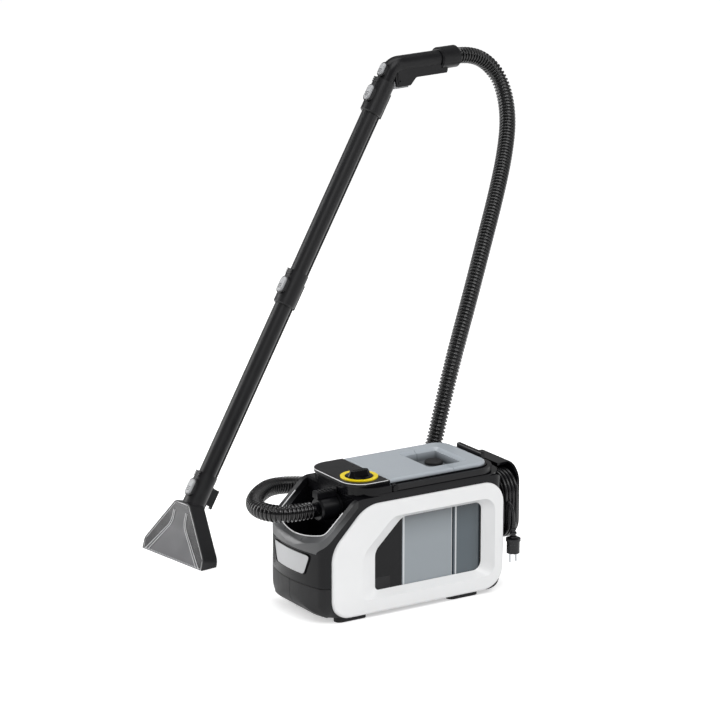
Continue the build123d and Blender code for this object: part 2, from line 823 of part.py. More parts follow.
def recess():
    """The grip pocket in the two lids: a bevelled brim, a ledge and a tapered pit."""
    ledge_z = LID_TOP - RECESS_BEVEL_DROP
    pit = RECESS_BEVEL + RECESS_LEDGE
    ledge = Pos(0, 0, ledge_z) * recess_plan(RECESS_BEVEL, 8)
    brim = loft([ledge, Pos(0, 0, LID_TOP) * recess_plan(0, 12)], ruled=True)
    floor = Pos(0, 0, RECESS_FLOOR_Z) * recess_plan(pit + RECESS_SLOPE, 5)
    return brim + loft([floor, Pos(0, 0, ledge_z) * recess_plan(pit, 6)], ruled=True)


def lid(plan, parting_faces):
    """Thin cap with its half of the grip pocket, rounded except at the parting."""
    bottom = TANK_TOP + SEAL_T
    cap = upright(plan(), bottom, LID_TOP)
    edges = cap.faces().sort_by(Axis.Z)[-1].edges()
    cap = fillet(parting_faces(edges), LID_EDGE_R)
    room = upright(plan(LID_WALL), bottom, LID_TOP - LID_WALL)
    tub_low = (RECESS_FRONT - LID_WALL, -RECESS_HALF - LID_WALL, bottom)
    tub_high = (RECESS_REAR + LID_WALL, RECESS_HALF + LID_WALL, LID_TOP)
    room -= block(tub_low, tub_high)
    return cap - room - recess()


def dirty_lid():
    return lid(dirty_lid_plan, lambda edges: edges.sort_by(Axis.X)[:-1])


def clean_lid():
    cap = lid(clean_lid_plan, lambda edges: edges.sort_by(Axis.X)[1:])
    return cap - Pos(CAP_X, CAP_Y, 0) * rod(CAP_PLUG_R + CAP_CLEARANCE, 0, FAR)


def fill_cap():
    top = RECESS_FLOOR_Z + CAP_T
    cap = rod(CAP_R, RECESS_FLOOR_Z, top)
    cap = chamfer(cap.faces().sort_by(Axis.Z)[-1].edges(), CAP_EDGE)
    cap += rod(CAP_PLUG_R, RECESS_FLOOR_Z - CAP_PLUG_T, RECESS_FLOOR_Z)
    return Pos(CAP_X, CAP_Y, 0) * cap


def float_guide():
    """Rod under the dirty lid with a stop that the float sits on."""
    top = LID_TOP - LID_WALL
    guide = rod(FLOAT_ROD_R, FLOAT_REST_Z, top)
    guide += rod(FLOAT_STOP_R, FLOAT_REST_Z - FLOAT_STOP_T, FLOAT_REST_Z)
    return Pos(FLOAT_X, FLOAT_Y, 0) * guide


def tank_float():
    low = FLOAT_REST_Z + TANK_SEAT
    ball = pipe(FLOAT_R, FLOAT_ROD_R + FLOAT_CLEARANCE, low, low + FLOAT_HEIGHT)
    return Pos(FLOAT_X, FLOAT_Y, 0) * ball


# Motor room


def room_floor():
    return BODY_BOTTOM + BODY_WALL


def motor_top():
    return room_floor() + MOUNT_T + MOTOR_HEIGHT


def motor_mount():
    ring = pipe(MOUNT_R, MOUNT_R / 2, room_floor(), room_floor() + MOUNT_T)
    return Pos(MOTOR_X, MOTOR_Y, 0) * ring


def suction_motor():
    can = rod(MOTOR_R, room_floor() + MOUNT_T, motor_top())
    can = chamfer(can.faces().sort_by(Axis.Z)[-1].edges(), BODY_WALL)
    bore = rod(FAN_SHAFT_R + SHAFT_CLEARANCE, motor_top() - FAN_SHAFT_LENGTH, motor_top())
    return Pos(MOTOR_X, MOTOR_Y, 0) * (can - bore)


def fan_case():
    low, high = motor_top(), motor_top() + FAN_CASE_HEIGHT
    case = rod(FAN_CASE_R, low, high)
    case -= rod(FAN_CASE_R - FAN_CASE_WALL, low + FAN_CASE_WALL, high - FAN_CASE_WALL)
    case -= rod(FAN_SHAFT_R * 2, low, low + FAN_CASE_WALL)
    return Pos(MOTOR_X, MOTOR_Y, 0) * (case - rod(FAN_INLET_R, high - FAN_CASE_WALL, high))


def fan_rotor():
    """Disc with straight blades on the motor's shaft."""
    disc_low = motor_top() + FAN_CASE_WALL + FAN_GAP
    disc_high = disc_low + FAN_DISC_T
    rotor = rod(FAN_R, disc_low, disc_high) + rod(FAN_HUB_R, disc_low, disc_high + FAN_BLADE_HEIGHT)
    half_t = FAN_BLADE_T / 2
    blade = block((FAN_HUB_R / 2, -half_t, disc_high), (FAN_R, half_t, disc_high + FAN_BLADE_HEIGHT))
    rotor += [Rot(0, 0, 360 / FAN_BLADES * turn) * blade for turn in range(FAN_BLADES)]
    shaft = rod(FAN_SHAFT_R, motor_top() - FAN_SHAFT_LENGTH + FAN_GAP, disc_low)
    return Pos(MOTOR_X, MOTOR_Y, 0) * (rotor + shaft)


def water_pump():
    """Pump barrel on a saddle."""
    axis_z = room_floor() + PUMP_BASE_T + PUMP_R
    barrel = Pos(-PUMP_LENGTH / 2, 0, axis_z) * Rot(0, 90, 0) * rod(PUMP_R, 0, PUMP_LENGTH)
    saddle = block((-PUMP_R, -PUMP_R, room_floor()), (PUMP_R, PUMP_R, axis_z))
    outlet = rod(PUMP_R / 3, axis_z, axis_z + PUMP_R * 1.6)
    return Pos(PUMP_X, PUMP_Y, 0) * (barrel + saddle + outlet)


# Hose fittings on the tower


def hose_axis(x):
    """Local Z points out of the machine, to the front."""
    return Pos(x, HOSE_Y, HOSE_Z) * Rot(0, -90, 0)


def hose_socket():
    flange = rod(SOCKET_R, 0, SOCKET_T) + rod(SOCKET_SPIGOT_R, -SOCKET_SPIGOT_LENGTH, 0)
    flange -= rod(HOSE_BORE_R, -SOCKET_SPIGOT_LENGTH, SOCKET_T)
    return hose_axis(TOWER_FRONT) * flange


def hose_cuff():
    cuff = rod(CUFF_R, 0, CUFF_LENGTH)
    cuff = chamfer(cuff.faces().sort_by(Axis.Z)[-1].edges(), CUFF_EDGE)
    cuff -= rod(HOSE_BORE_R, 0, CUFF_LENGTH)
    return hose_axis(TOWER_FRONT - SOCKET_T) * cuff


def spray_coupling():
    """Ribbed quick coupling of the spray line on top of the cuff."""
    rear = TOWER_FRONT - SOCKET_T
    low_z = HOSE_Z + CUFF_R
    half = COUPLING_WIDTH / 2
    body = block((rear - COUPLING_LENGTH, -half, low_z), (rear, half, low_z + COUPLING_HEIGHT))
    body = fillet(body.edges().filter_by(Axis.X).group_by(Axis.Z)[-1], BODY_WALL)
    pitch = COUPLING_LENGTH / (COUPLING_GROOVES + 1)
    groove_t = pitch / 3
    for groove in range(COUPLING_GROOVES):
        x = rear - (groove + 1) * pitch
        groove_low = low_z + COUPLING_HEIGHT - groove_t
        body -= block((x - groove_t / 2, -half, groove_low), (x + groove_t / 2, half, FAR))
    return Pos(0, HOSE_Y, 0) * body


# Cord winder, winding and plug


def cord_winder():
    """Hollow core on the rear wall, with a flange whose top lip hooks forward."""
    core = rectangle((-WINDER_HALF, WINDER_LOW), (WINDER_HALF, WINDER_HIGH), [WINDER_CORE_R] * 4)
    winder = lengthwise(core - offset(core, -WINDER_WALL), BODY_REAR, WINDER_FLANGE_X)
    low = (-WINDER_FLANGE_HALF, WINDER_FLANGE_LOW)
    high = (WINDER_FLANGE_HALF, HOOK_TOP)
    plate = rectangle(low, high, [WINDER_FLANGE_R] * 4)
    rear = WINDER_FLANGE_X + WINDER_FLANGE_T
    lip = block((HOOK_FRONT, -HOOK_HALF, HOOK_TOP - WINDER_FLANGE_T), (rear, HOOK_HALF, HOOK_TOP))
    return winder + lengthwise(plate, WINDER_FLANGE_X, rear) + lip


def winding_corner(side_y, side_z, x, layer):
    """One corner of the winding, a layer's step out from the core."""
    out = CORD_D / 2 + CORD_SEAT + layer * CORD_LAYER_STEP
    z = WINDER_HIGH + out if side_z > 0 else WINDER_LOW - out
    return (x, side_y * (WINDER_HALF + out), z)


def winding_points():
    """Up the far side, over the top, down the near side and back under, twice along the core."""
    quarter = CORD_PITCH / 4
    corners = [(1, 1), (-1, 1), (-1, -1), (1, -1)]
    gland_top = GLAND_LOW + GLAND_LENGTH
    points = [(GLAND_X, gland_y(), gland_top), (GLAND_X, gland_y(), gland_top + GLAND_LEAD)]
    radii = []
    steps = 4 * CORD_LOOPS
    last_x = CORD_FIRST_X + (steps - 1) * quarter
    for step in range(2 * steps - 2):
        layer = step // steps
        side_y, side_z = corners[step % 4]
        x = CORD_FIRST_X + step * quarter if layer == 0 else last_x - (step - steps) * quarter
        points.append(winding_corner(side_y, side_z, x, layer))
        radii.append(WINDER_CORE_R + CORD_D / 2 + CORD_SEAT + layer * CORD_LAYER_STEP)
    return points, run_radii(points[:3]) + radii


def run_radii(points):
    """Arc radius at each inner point: 0.45 of the shorter run over the tangent of half the turn."""
    radii = []
    for before, here, after in zip(points, points[1:], points[2:]):
        arriving, leaving = Vector(here) - Vector(before), Vector(after) - Vector(here)
        half_turn = math.radians(arriving.get_angle(leaving)) / 2
        radii.append(0.45 * min(arriving.length, leaving.length) / math.tan(half_turn))
    return radii


def cord_path():
    points, radii = winding_points()
    tail = [points[-1]] + CORD_TAIL + [(PLUG_X, PLUG_Y, PLUG_TOP)]
    return FilletPolyline(*points, *tail[1:], radius=radii + run_radii(tail))


def tube_along(path, radius):
    return sweep((path ^ 0) * Circle(radius), path)


def power_cord():
    path = cord_path()
    outline = RegularPolygon(CORD_D / 2, CORD_SIDES)
    cord = sweep((path ^ 0) * outline, path)
    report_tube("power cord", cord, path, outline.area)
    report_self_gap("power cord", path, CORD_D)
    return cord


def gland_y():
    """The gland stands just clear of the core's far side."""
    return WINDER_HALF + GLAND_R + CORD_SEAT


def cord_gland():
    """Bracket on the rear wall with the tapered strain relief."""
    bracket = block(
        (BODY_REAR, gland_y() - GLAND_R, GLAND_LOW - GLAND_BRACKET_T),
        (GLAND_X + CORD_D / 2, gland_y() + GLAND_R, GLAND_LOW),
    )
    sleeve = Pos(GLAND_X, gland_y(), GLAND_LOW) * Cone(
        GLAND_R, GLAND_TIP_R, GLAND_LENGTH, align=(Align.CENTER, Align.CENTER, Align.MIN)
    )
    return bracket + sleeve


def plug_body():
    """Round two-pin plug with a ribbed strain relief, hanging with its pins down."""
    sleeve_low = PLUG_TOP - PLUG_SLEEVE_LENGTH
    flange_low = sleeve_low - PLUG_FLANGE_T
    tip = CORD_D / 2 + CORD_SEAT
    pitch = PLUG_SLEEVE_LENGTH / (2 * PLUG_SLEEVE_RIBS)
    plug = rod(PLUG_R, flange_low, sleeve_low) + rod(PLUG_BODY_R, sleeve_low - PLUG_BODY_LENGTH, flange_low)
    plug += rod(tip, sleeve_low, PLUG_TOP)
    for rib in range(PLUG_SLEEVE_RIBS):
        share = 1 - rib / PLUG_SLEEVE_RIBS
        radius = tip + (PLUG_SLEEVE_R - tip) * share
        plug += rod(radius, sleeve_low + 2 * rib * pitch, sleeve_low + (2 * rib + 1) * pitch)
    return Pos(PLUG_X, PLUG_Y, 0) * plug


def plug_pins():
    top = PLUG_TOP - PLUG_SLEEVE_LENGTH - PLUG_BODY_LENGTH
    pin = rod(PIN_R, top - PIN_LENGTH, top)
    pin = chamfer(pin.faces().sort_by(Axis.Z)[0].edges(), PIN_EDGE)
    pins = [Pos(PLUG_X + side * PIN_SPACING / 2, PLUG_Y, 0) * pin for side in (-1, 1)]
    return Compound(children=pins)


# Suction hose


def wand_frame():
    """Local X runs along the wand's plane on the floor, from the lip to the handle."""
    yaw = math.radians(WAND_YAW)
    plane = Plane(origin=(LIP_X, LIP_Y, 0), x_dir=(math.cos(yaw), math.sin(yaw), 0), z_dir=(0, 0, 1))
    return plane.location


def tube_frame():
    """Local Z runs up the wand tubes, local X to their underside."""
    tilt = math.radians(WAND_TILT)
    up = (math.sin(tilt), 0, math.cos(tilt))
    plane = Plane(origin=(AXIS_FOOT, 0, 0), x_dir=(up[2], 0, -up[0]), z_dir=up)
    return wand_frame() * plane.location


def hose_path():
    start = (TOWER_FRONT - SOCKET_T - CUFF_LENGTH, HOSE_Y, HOSE_Z)
    end = (grip_end() * Pos(0, 0, HANDLE_CUFF_LENGTH)).position
    last = (grip_end() * Pos(0, 0, HANDLE_CUFF_LENGTH + HOSE_LEAD)).position
    points = [start] + HOSE_ROUTE + [last, end]
    radii = run_radii(points)
    print("hose radii", [round(radius) for radius in radii])
    return FilletPolyline(*points, radius=radii)


def suction_hose():
    """Ribbed hose with its bore: rings of crest and root along the route, lofted in stretches."""
    path = hose_path()
    plain = 2 * HOSE_R
    step = (path.length - 2 * plain) / HOSE_RIBS
    roots = [plain + rib * step for rib in range(HOSE_RIBS + 1)]
    bore = [hose_ring(path, at, HOSE_BORE_R) for at in [0, *roots, path.length]]
    rings = [hose_ring(path, 0, HOSE_ROOT_R)]
    for at in roots[:-1]:
        rings.append(hose_ring(path, at, HOSE_ROOT_R))
        rings.append(hose_ring(path, at + step / 2, HOSE_R))
    rings.append(hose_ring(path, roots[-1], HOSE_ROOT_R))
    rings.append(hose_ring(path, path.length, HOSE_ROOT_R))
    hose = lofted(rings) - lofted(bore)
    print("hose length", round(path.length), "volume", round(hose.volume))
    return hose


def lofted(rings):
    """Ruled loft made in stretches, none of which turns far."""
    tube = Part()
    for first in range(0, len(rings) - 1, HOSE_STRETCH):
        tube += loft(rings[first : first + HOSE_STRETCH + 1], ruled=True)
    return tube


def hose_ring(path, at, radius):
    """A circle square to the path, with a steady X axis."""
    share = at / path.length
    tangent = path.tangent_at(share)
    plane = Plane(origin=path.position_at(share), x_dir=HOSE_LEVEL.cross(tangent), z_dir=tangent)
    return plane * Circle(radius)


def report_tube(name, solid, path, section):
    share = solid.volume / (section * path.length)
    print(name, "length", round(path.length), "volume over section times length", round(share, 4))


def report_self_gap(name, path, diameter):
    """Least gap between stretches of the tube that are not neighbours along it."""
    count = int(path.length / 3)
    points = [path.position_at(index / count) for index in range(count + 1)]
    skip = int(3 * diameter / 3) + 1
    least = min(
        (points[first] - points[second]).length
        for first in range(len(points))
        for second in range(first + skip, len(points))
    )
    print(name, "least gap to itself", round(least - diameter, 2))


# Wand tubes


def collar(low, button_floor=BUTTON_FLOOR, boss_out=BUTTON_BOSS_OUT):
    """Socket collar with a button boss in front, a line rib behind and a grip tab."""
    high = low + COLLAR_LENGTH
    middle = low + COLLAR_LENGTH / 2
    body = rod(COLLAR_R, low, high)
    body = chamfer(body.faces().sort_by(Axis.Z)[0].edges(), COLLAR_EDGE)
    body += button_boss(middle, BUTTON_LENGTH, BUTTON_WIDTH, boss_out)
    body += grip_tab(high)
    half_rib = COLLAR_RIB_WIDTH / 2
    body += block((0, -half_rib, low), (line_out(), half_rib, low + COLLAR_RIB_LENGTH))
    body -= button_pocket(middle, BUTTON_LENGTH, BUTTON_WIDTH, button_floor)
    return body - rod(TUBE_R + SOCKET_FIT, high - SOCKET_DEPTH, high)


def grip_tab(high):
    """Ribbed tab at the collar's rim."""
    half = TAB_WIDTH / 2
    out = COLLAR_R + TAB_PROUD
    tab = block((-out, -half, high - TAB_LENGTH), (0, half, high))
    pitch = TAB_LENGTH / (TAB_GROOVES + 0.5)
    for groove in range(TAB_GROOVES):
        groove_high = high - (groove + 0.5) * pitch
        tab -= block((-out, -half, groove_high - TAB_GROOVE), (TAB_GROOVE - out, half, groove_high))
    return tab


def line_out():
    """How far the spray line's outside lies from the tube's axis."""
    return TUBE_R + SPRAY_LINE_GAP + 2 * SPRAY_LINE_R


def front_slot(middle, length, width, inner, outer):
    """A slot-shaped prism that points out of the tube's front."""
    face = SlotOverall(length, width)
    plane = Plane(origin=(-inner, 0, middle), x_dir=(0, 0, 1), z_dir=(-1, 0, 0))
    return extrude(plane * face, outer - inner)


def button_boss(middle, length, width, out):
    wall = 2 * BUTTON_BOSS_WALL
    return front_slot(middle, length + wall, width + wall, 0, out)


def button_pocket(middle, length, width, floor):
    gap = 2 * BUTTON_GAP
    return front_slot(middle, length + gap, width + gap, floor, FAR)


def push_button(middle, length, width, floor, boss_out):
    """Oval button that sinks into its pocket by its travel."""
    low = floor + BUTTON_TRAVEL + BUTTON_GAP
    button = front_slot(middle, length, width, low, boss_out + BUTTON_PROUD)
    return tube_frame() * chamfer(button.faces().sort_by(Axis.X)[0].edges(), BUTTON_EDGE)


def socket_floor(collar_low):
    return collar_low + COLLAR_LENGTH - SOCKET_DEPTH + SOCKET_END_GAP


def wand_tube(low_collar, high_collar):
    """Tube that plugs into the collar below and carries the collar above."""
    low = socket_floor(low_collar)
    tube = rod(TUBE_R, low, high_collar + COLLAR_EDGE) + collar(high_collar)
    return tube_frame() * (tube - rod(TUBE_BORE_R, low, high_collar + COLLAR_LENGTH))


def spray_line(low_collar, high_collar):
    """Thin water line along the tube's underside, between two collar ribs."""
    out = line_out() - SPRAY_LINE_R
    low = low_collar + COLLAR_LENGTH + SPRAY_LINE_GAP
    return tube_frame() * Pos(out, 0, 0) * rod(SPRAY_LINE_R, low, high_collar)


def release_button(collar_low):
    middle = collar_low + COLLAR_LENGTH / 2
    return push_button(middle, BUTTON_LENGTH, BUTTON_WIDTH, BUTTON_FLOOR, BUTTON_BOSS_OUT)


# Handle


def elbow():
    """Where the tube's axis meets the grip's axis: along the wand, and height."""
    tilt = math.radians(WAND_TILT)
    bend = ELBOW_R * math.tan((math.pi / 2 - tilt) / 2)
    rise = UPPER_COLLAR_S + COLLAR_LENGTH + ELBOW_RISE + bend
    return AXIS_FOOT + rise * math.sin(tilt), rise * math.cos(tilt)


def grip_axis():
    """Local Z runs along the grip, from the elbow to the cuff."""
    along, height = elbow()
    return wand_frame() * Pos(along, 0, height) * Rot(0, 90, 0)


def grip_end():
    return grip_axis() * Pos(0, 0, GRIP_LENGTH)


def handle_core(radius):
    """The bent tube from the spigot over the elbow to the cuff."""
    low = (tube_frame() * Pos(0, 0, socket_floor(UPPER_COLLAR_S))).position
    path = FilletPolyline(low, grip_axis().position, grip_end().position, radius=[ELBOW_R])
    return tube_along(path, radius)


def slider_s():
    return UPPER_COLLAR_S + COLLAR_LENGTH + SLIDER_RISE


def handle_body():
    body = handle_core(TUBE_R)
    body += tube_frame() * button_boss(slider_s(), SLIDER_LENGTH, SLIDER_WIDTH, SLIDER_BOSS_OUT)
    body -= tube_frame() * button_pocket(slider_s(), SLIDER_LENGTH, SLIDER_WIDTH, SLIDER_FLOOR)
    return body - handle_core(HOSE_BORE_R)


def handle_slider():
    return push_button(slider_s(), SLIDER_LENGTH, SLIDER_WIDTH, SLIDER_FLOOR, SLIDER_BOSS_OUT)


def housing_front():
    return elbow()[0] + HOUSING_SETBACK


def housing_bottom():
    return elbow()[1] - HOUSING_DEPTH


def housing_outline():
    front, bottom = housing_front(), housing_bottom()
    rear, deep_end = front + HOUSING_LENGTH, front + HOUSING_DEEP_LENGTH
    step_z = bottom + HOUSING_STEP
    return rounded(
        [
            (front, elbow()[1]),
            (front, step_z),
            (front + HOUSING_SLANT, bottom),
            (deep_end, bottom),
            (deep_end + HOUSING_STEP, step_z),
            (rear - HOUSING_SLANT, step_z),
            (rear, elbow()[1]),
        ],
        [0, 4, 3, 5, 8, 4, 0],
    )


def handle_housing():
    """Lower half of the grip, hollow for the valve and open below for the trigger."""
    shell = across(housing_outline(), -HOUSING_HALF, HOUSING_HALF)
    cheek = HOUSING_HALF + CHEEK_PROUD
    shell += across(offset(housing_outline(), -CHEEK_INSET), -cheek, cheek)
    inner_half = HOUSING_HALF - HOUSING_WALL
    shell -= across(offset(housing_outline(), -HOUSING_WALL), -inner_half, inner_half)
    half = TRIGGER_HALF + TRIGGER_GAP
    front, bottom = housing_front(), housing_bottom()
    slot_top = bottom + TRIGGER_PIVOT_UP + TRIGGER_EYE_R
    shell -= block((front - HOUSING_WALL, -half, 0), (front + TRIGGER_PIVOT_IN, half, slot_top))
    slot_rear = trigger_rear() + TRIGGER_SWING
    shell -= block((front, -half, 0), (slot_rear, half, bottom + 2 * HOUSING_WALL))
    shell -= trigger_axis() * rod(TRIGGER_PIN_R + TRIGGER_CLEARANCE, -FAR, FAR)
    solid = wand_frame() * shell
    solid -= grip_axis() * rod(TUBE_R + HOUSING_SEAT, 0, GRIP_LENGTH)
    solid -= handle_core(TUBE_R + HOUSING_SEAT)
    solid -= tube_frame() * rod(COLLAR_R + SOCKET_FIT, 0, UPPER_COLLAR_S + COLLAR_LENGTH + SOCKET_FIT)
    solid -= grip_end() * rod(CUFF_R + HOUSING_SEAT, 0, FAR)
    return solid.solids().sort_by(SortBy.VOLUME)[-1]


def trigger_pivot():
    return housing_front() + TRIGGER_PIVOT_IN, housing_bottom() + TRIGGER_PIVOT_UP


def trigger_rear():
    return housing_front() + HOUSING_DEEP_LENGTH - HOUSING_WALL


def trigger_axis():
    """Local Z along the trigger's pin, in the wand's frame."""
    along, height = trigger_pivot()
    return Pos(along, 0, height) * Rot(90, 0, 0)


def spray_trigger():
    """Lever under the grip that turns on its pin and pushes the valve, with a tab in front."""
    low = housing_bottom() - TRIGGER_PROUD
    along, height = trigger_pivot()
    front = housing_front()
    lever = block((front, -TRIGGER_HALF, low), (trigger_rear(), TRIGGER_HALF, low + TRIGGER_T))
    lever += block((front - TRIGGER_GAP, -TRIGGER_HALF, low), (along, TRIGGER_HALF, low + TRIGGER_TAB))
    eye = trigger_axis() * rod(TRIGGER_EYE_R, -TRIGGER_HALF, TRIGGER_HALF)
    hole = trigger_axis() * rod(TRIGGER_PIN_R + TRIGGER_CLEARANCE, -FAR, FAR)
    trigger = wand_frame() * (lever + eye - hole) - handle_core(TUBE_R + TRIGGER_GAP)
    collar_top = UPPER_COLLAR_S + COLLAR_LENGTH + TRIGGER_GAP
    return trigger - tube_frame() * rod(COLLAR_R + TRIGGER_GAP, 0, collar_top)


def trigger_pin():
    half = HOUSING_HALF - TRIGGER_GAP
    return wand_frame() * trigger_axis() * rod(TRIGGER_PIN_R, -half, half)


def spray_valve():
    """Small valve under the grip's tube, above the lever."""
    seat = grip_axis() * Pos(TUBE_R + HOUSING_SEAT, 0, HOUSING_SETBACK + VALVE_IN) * Rot(0, 90, 0)
    return seat * rod(VALVE_R, 0, VALVE_LENGTH)


def handle_cuff():
    cuff = rod(CUFF_R, 0, HANDLE_CUFF_LENGTH)
    cuff = chamfer(cuff.faces().filter_by(Axis.Z).edges(), CUFF_EDGE)
    cuff -= rod(HOSE_BORE_R, 0, HANDLE_CUFF_LENGTH)
    return grip_end() * cuff


# Floor nozzle


def face_frame():
    """Local X across the nozzle, local Y up its front face, local Z out to the front."""
    lean = math.radians(FACE_TILT)
    normal = (-math.cos(lean), 0, math.sin(lean))
    return wand_frame() * Plane(origin=(0, 0, 0), x_dir=(0, -1, 0), z_dir=normal).location


def fan_outline():
    """Front outline of the nozzle, a flared triangle with a round arch at its top."""
    low = -NOZZLE_DEPTH
    corners = [
        (-NOZZLE_HALF, low),
        (-NOZZLE_HALF, NOZZLE_SHOULDER),
        (-NOZZLE_TOP_HALF, NOZZLE_TOP),
        (NOZZLE_TOP_HALF, NOZZLE_TOP),
        (NOZZLE_HALF, NOZZLE_SHOULDER),
        (NOZZLE_HALF, low),
    ]
    return rounded(corners, [0, NOZZLE_CORNER_R, NOZZLE_ARCH_R, NOZZLE_ARCH_R, NOZZLE_CORNER_R, 0])


def fan_slab(inset, front, back):
    """The fan's outline made solid between two depths behind the front face."""
    outline = offset(fan_outline(), -inset) if inset else fan_outline()
    return face_frame() * Pos(0, 0, -back) * extrude(outline, back - front)


def above_floor():
    return wand_frame() * block((-FAR, -FAR, 0), (FAR, FAR, FAR))


def nozzle_flare():
    """Tapered shoulder between the fan and the neck, cut flush with the fan's front and back."""
    height = NOZZLE_COLLAR_S + COLLAR_EDGE - FLARE_LOW
    cone = Cone(FLARE_R, COLLAR_R, height, align=(Align.CENTER, Align.CENTER, Align.MIN))
    room = Pos(0, 0, -NOZZLE_DEPTH) * extrude(Rectangle(FAR, FAR), NOZZLE_DEPTH)
    return (tube_frame() * Pos(0, 0, FLARE_LOW) * cone) & (face_frame() * room)


def nozzle_body():
    """Flared hollow body open to the floor and to its clear front, with a socket neck."""
    body = fan_slab(0, 0, NOZZLE_DEPTH)
    neck_high = NOZZLE_COLLAR_S + COLLAR_LENGTH
    neck = rod(COLLAR_R, NECK_LOW, NOZZLE_COLLAR_S + COLLAR_EDGE) + collar(NOZZLE_COLLAR_S)
    body += tube_frame() * neck + nozzle_flare()
    body -= fan_slab(COVER_INSET + NOZZLE_WALL, 0, NOZZLE_DEPTH - NOZZLE_WALL) & above_floor()
    body -= fan_slab(COVER_INSET - PANEL_GAP, -FAR, COVER_T)
    mouth = fan_slab(COVER_INSET + NOZZLE_WALL, COVER_T, NOZZLE_DEPTH - NOZZLE_WALL)
    body -= mouth
    body -= tube_frame() * rod(NECK_BORE_R, NECK_LOW, neck_high)
    return body & above_floor()


def nozzle_cover():
    """Clear plate let into the front face, with two pairs of raised ridges."""
    cover = fan_slab(COVER_INSET, 0, COVER_T)
    for inset in (0, RIDGE_SPACING):
        corners = [(RIDGE_TOP_HALF - inset / 2, RIDGE_TOP), (RIDGE_TOP_HALF - inset / 2, RIDGE_BEND)]
        line = FilletPolyline(*corners, (NOZZLE_HALF - RIDGE_EDGE - inset, 0), radius=[RIDGE_R])
        ridge = extrude(trace(line, RIDGE_WIDTH), RIDGE_HEIGHT)
        cover += face_frame() * (ridge + mirror(ridge, about=Plane.YZ))
    return cover & above_floor()


def spray_clip():
    """Hooked plate behind the neck that the spray line clips to."""
    half = COLLAR_RIB_WIDTH / 2
    plate = block((line_out(), -half / 2, CLIP_LOW), (CLIP_OUT, half / 2, CLIP_HIGH))
    hook = block((CLIP_OUT - CLIP_T, -half / 2, CLIP_LOW - CLIP_T), (CLIP_OUT, half / 2, CLIP_LOW))
    return tube_frame() * (plate + hook)


def spray_jet():
    """Jet block on the fan's back, pointing down at the floor."""
    lean = math.radians(FACE_TILT)
    back = (NOZZLE_DEPTH + JET_LOW * math.sin(lean)) / math.cos(lean)
    holder = block((back, -JET_HALF, JET_LOW), (back + JET_LENGTH, JET_HALF, JET_HIGH))
    tip = Pos(back + JET_LENGTH / 2, 0, 0) * rod(JET_HALF / 2, JET_LOW - JET_HALF, JET_LOW)
    neck = tube_frame() * rod(COLLAR_R + HOUSING_SEAT, 0, NOZZLE_COLLAR_S)
    return wand_frame() * (holder + tip) - fan_slab(0, 0, NOZZLE_DEPTH) - neck


def build():
    """Every node of the object, in the machine's frame."""
    front = front_solid()
    groove = seam_groove()
    trim = well_trim(front)
    panel = side_panel()
    return {
        "base_pan": base_pan(front, groove),
        "front_shell": front - trim - base_region() - groove,
        "tank_bay": tank_bay(),
        "well_trim": trim,
        "left_side_panel": panel,
        "right_side_panel": mirror(panel, about=Plane.XZ),
        "badge_plate": badge_plate(),
        "feet": feet(),
        "top_rim": top_rim(),
        "carry_handle": carry_handle(),
        "handle_pivots": handle_pivots(),
        "top_plate": top_plate(),
        "knob_ring": knob_ring(),
        "selector_knob": selector_knob(),
        "switch_block": switch_block(),
        "dirty_tank": tank(dirty_plan),
        "dirty_tank_seal": tank_seal(dirty_plan),
        "dirty_tank_lid": dirty_lid(),
        "float_guide": float_guide(),
        "tank_float": tank_float(),
        "clean_tank": tank(clean_plan),
        "clean_tank_seal": tank_seal(clean_plan),
        "clean_tank_lid": clean_lid(),
        "fill_cap": fill_cap(),
        "motor_mount": motor_mount(),
        "suction_motor": suction_motor(),
        "fan_case": fan_case(),
        "fan_rotor": fan_rotor(),
        "water_pump": water_pump(),
        "hose_socket": hose_socket(),
        "hose_cuff": hose_cuff(),
        "spray_coupling": spray_coupling(),
        "cord_winder": cord_winder(),
        "cord_gland": cord_gland(),
        "power_cord": power_cord(),
        "plug_body": plug_body(),
        "plug_pins": plug_pins(),
        "suction_hose": suction_hose(),
        "handle_body": handle_body(),
        "handle_housing": handle_housing(),
        "handle_cuff": handle_cuff(),
        "handle_slider": handle_slider(),
        "spray_trigger": spray_trigger(),
        "trigger_pin": trigger_pin(),
        "spray_valve": spray_valve(),
        "upper_tube": wand_tube(LOWER_COLLAR_S, UPPER_COLLAR_S),
        "upper_spray_line": spray_line(LOWER_COLLAR_S, UPPER_COLLAR_S),
        "upper_release_button": release_button(UPPER_COLLAR_S),
        "lower_tube": wand_tube(NOZZLE_COLLAR_S, LOWER_COLLAR_S),
        "lower_spray_line": spray_line(NOZZLE_COLLAR_S, LOWER_COLLAR_S),
        "lower_release_button": release_button(LOWER_COLLAR_S),
        "nozzle_body": nozzle_body(),
        "nozzle_cover": nozzle_cover(),
        "nozzle_release_button": release_button(NOZZLE_COLLAR_S),
        "spray_clip": spray_clip(),
        "spray_jet": spray_jet(),
    }


os.makedirs("parts", exist_ok=True)
PLACE = Pos(MACHINE_X, MACHINE_Y, 0)
for node, shape in build().items():
    export_step(PLACE * shape, f"parts/{node}.step")
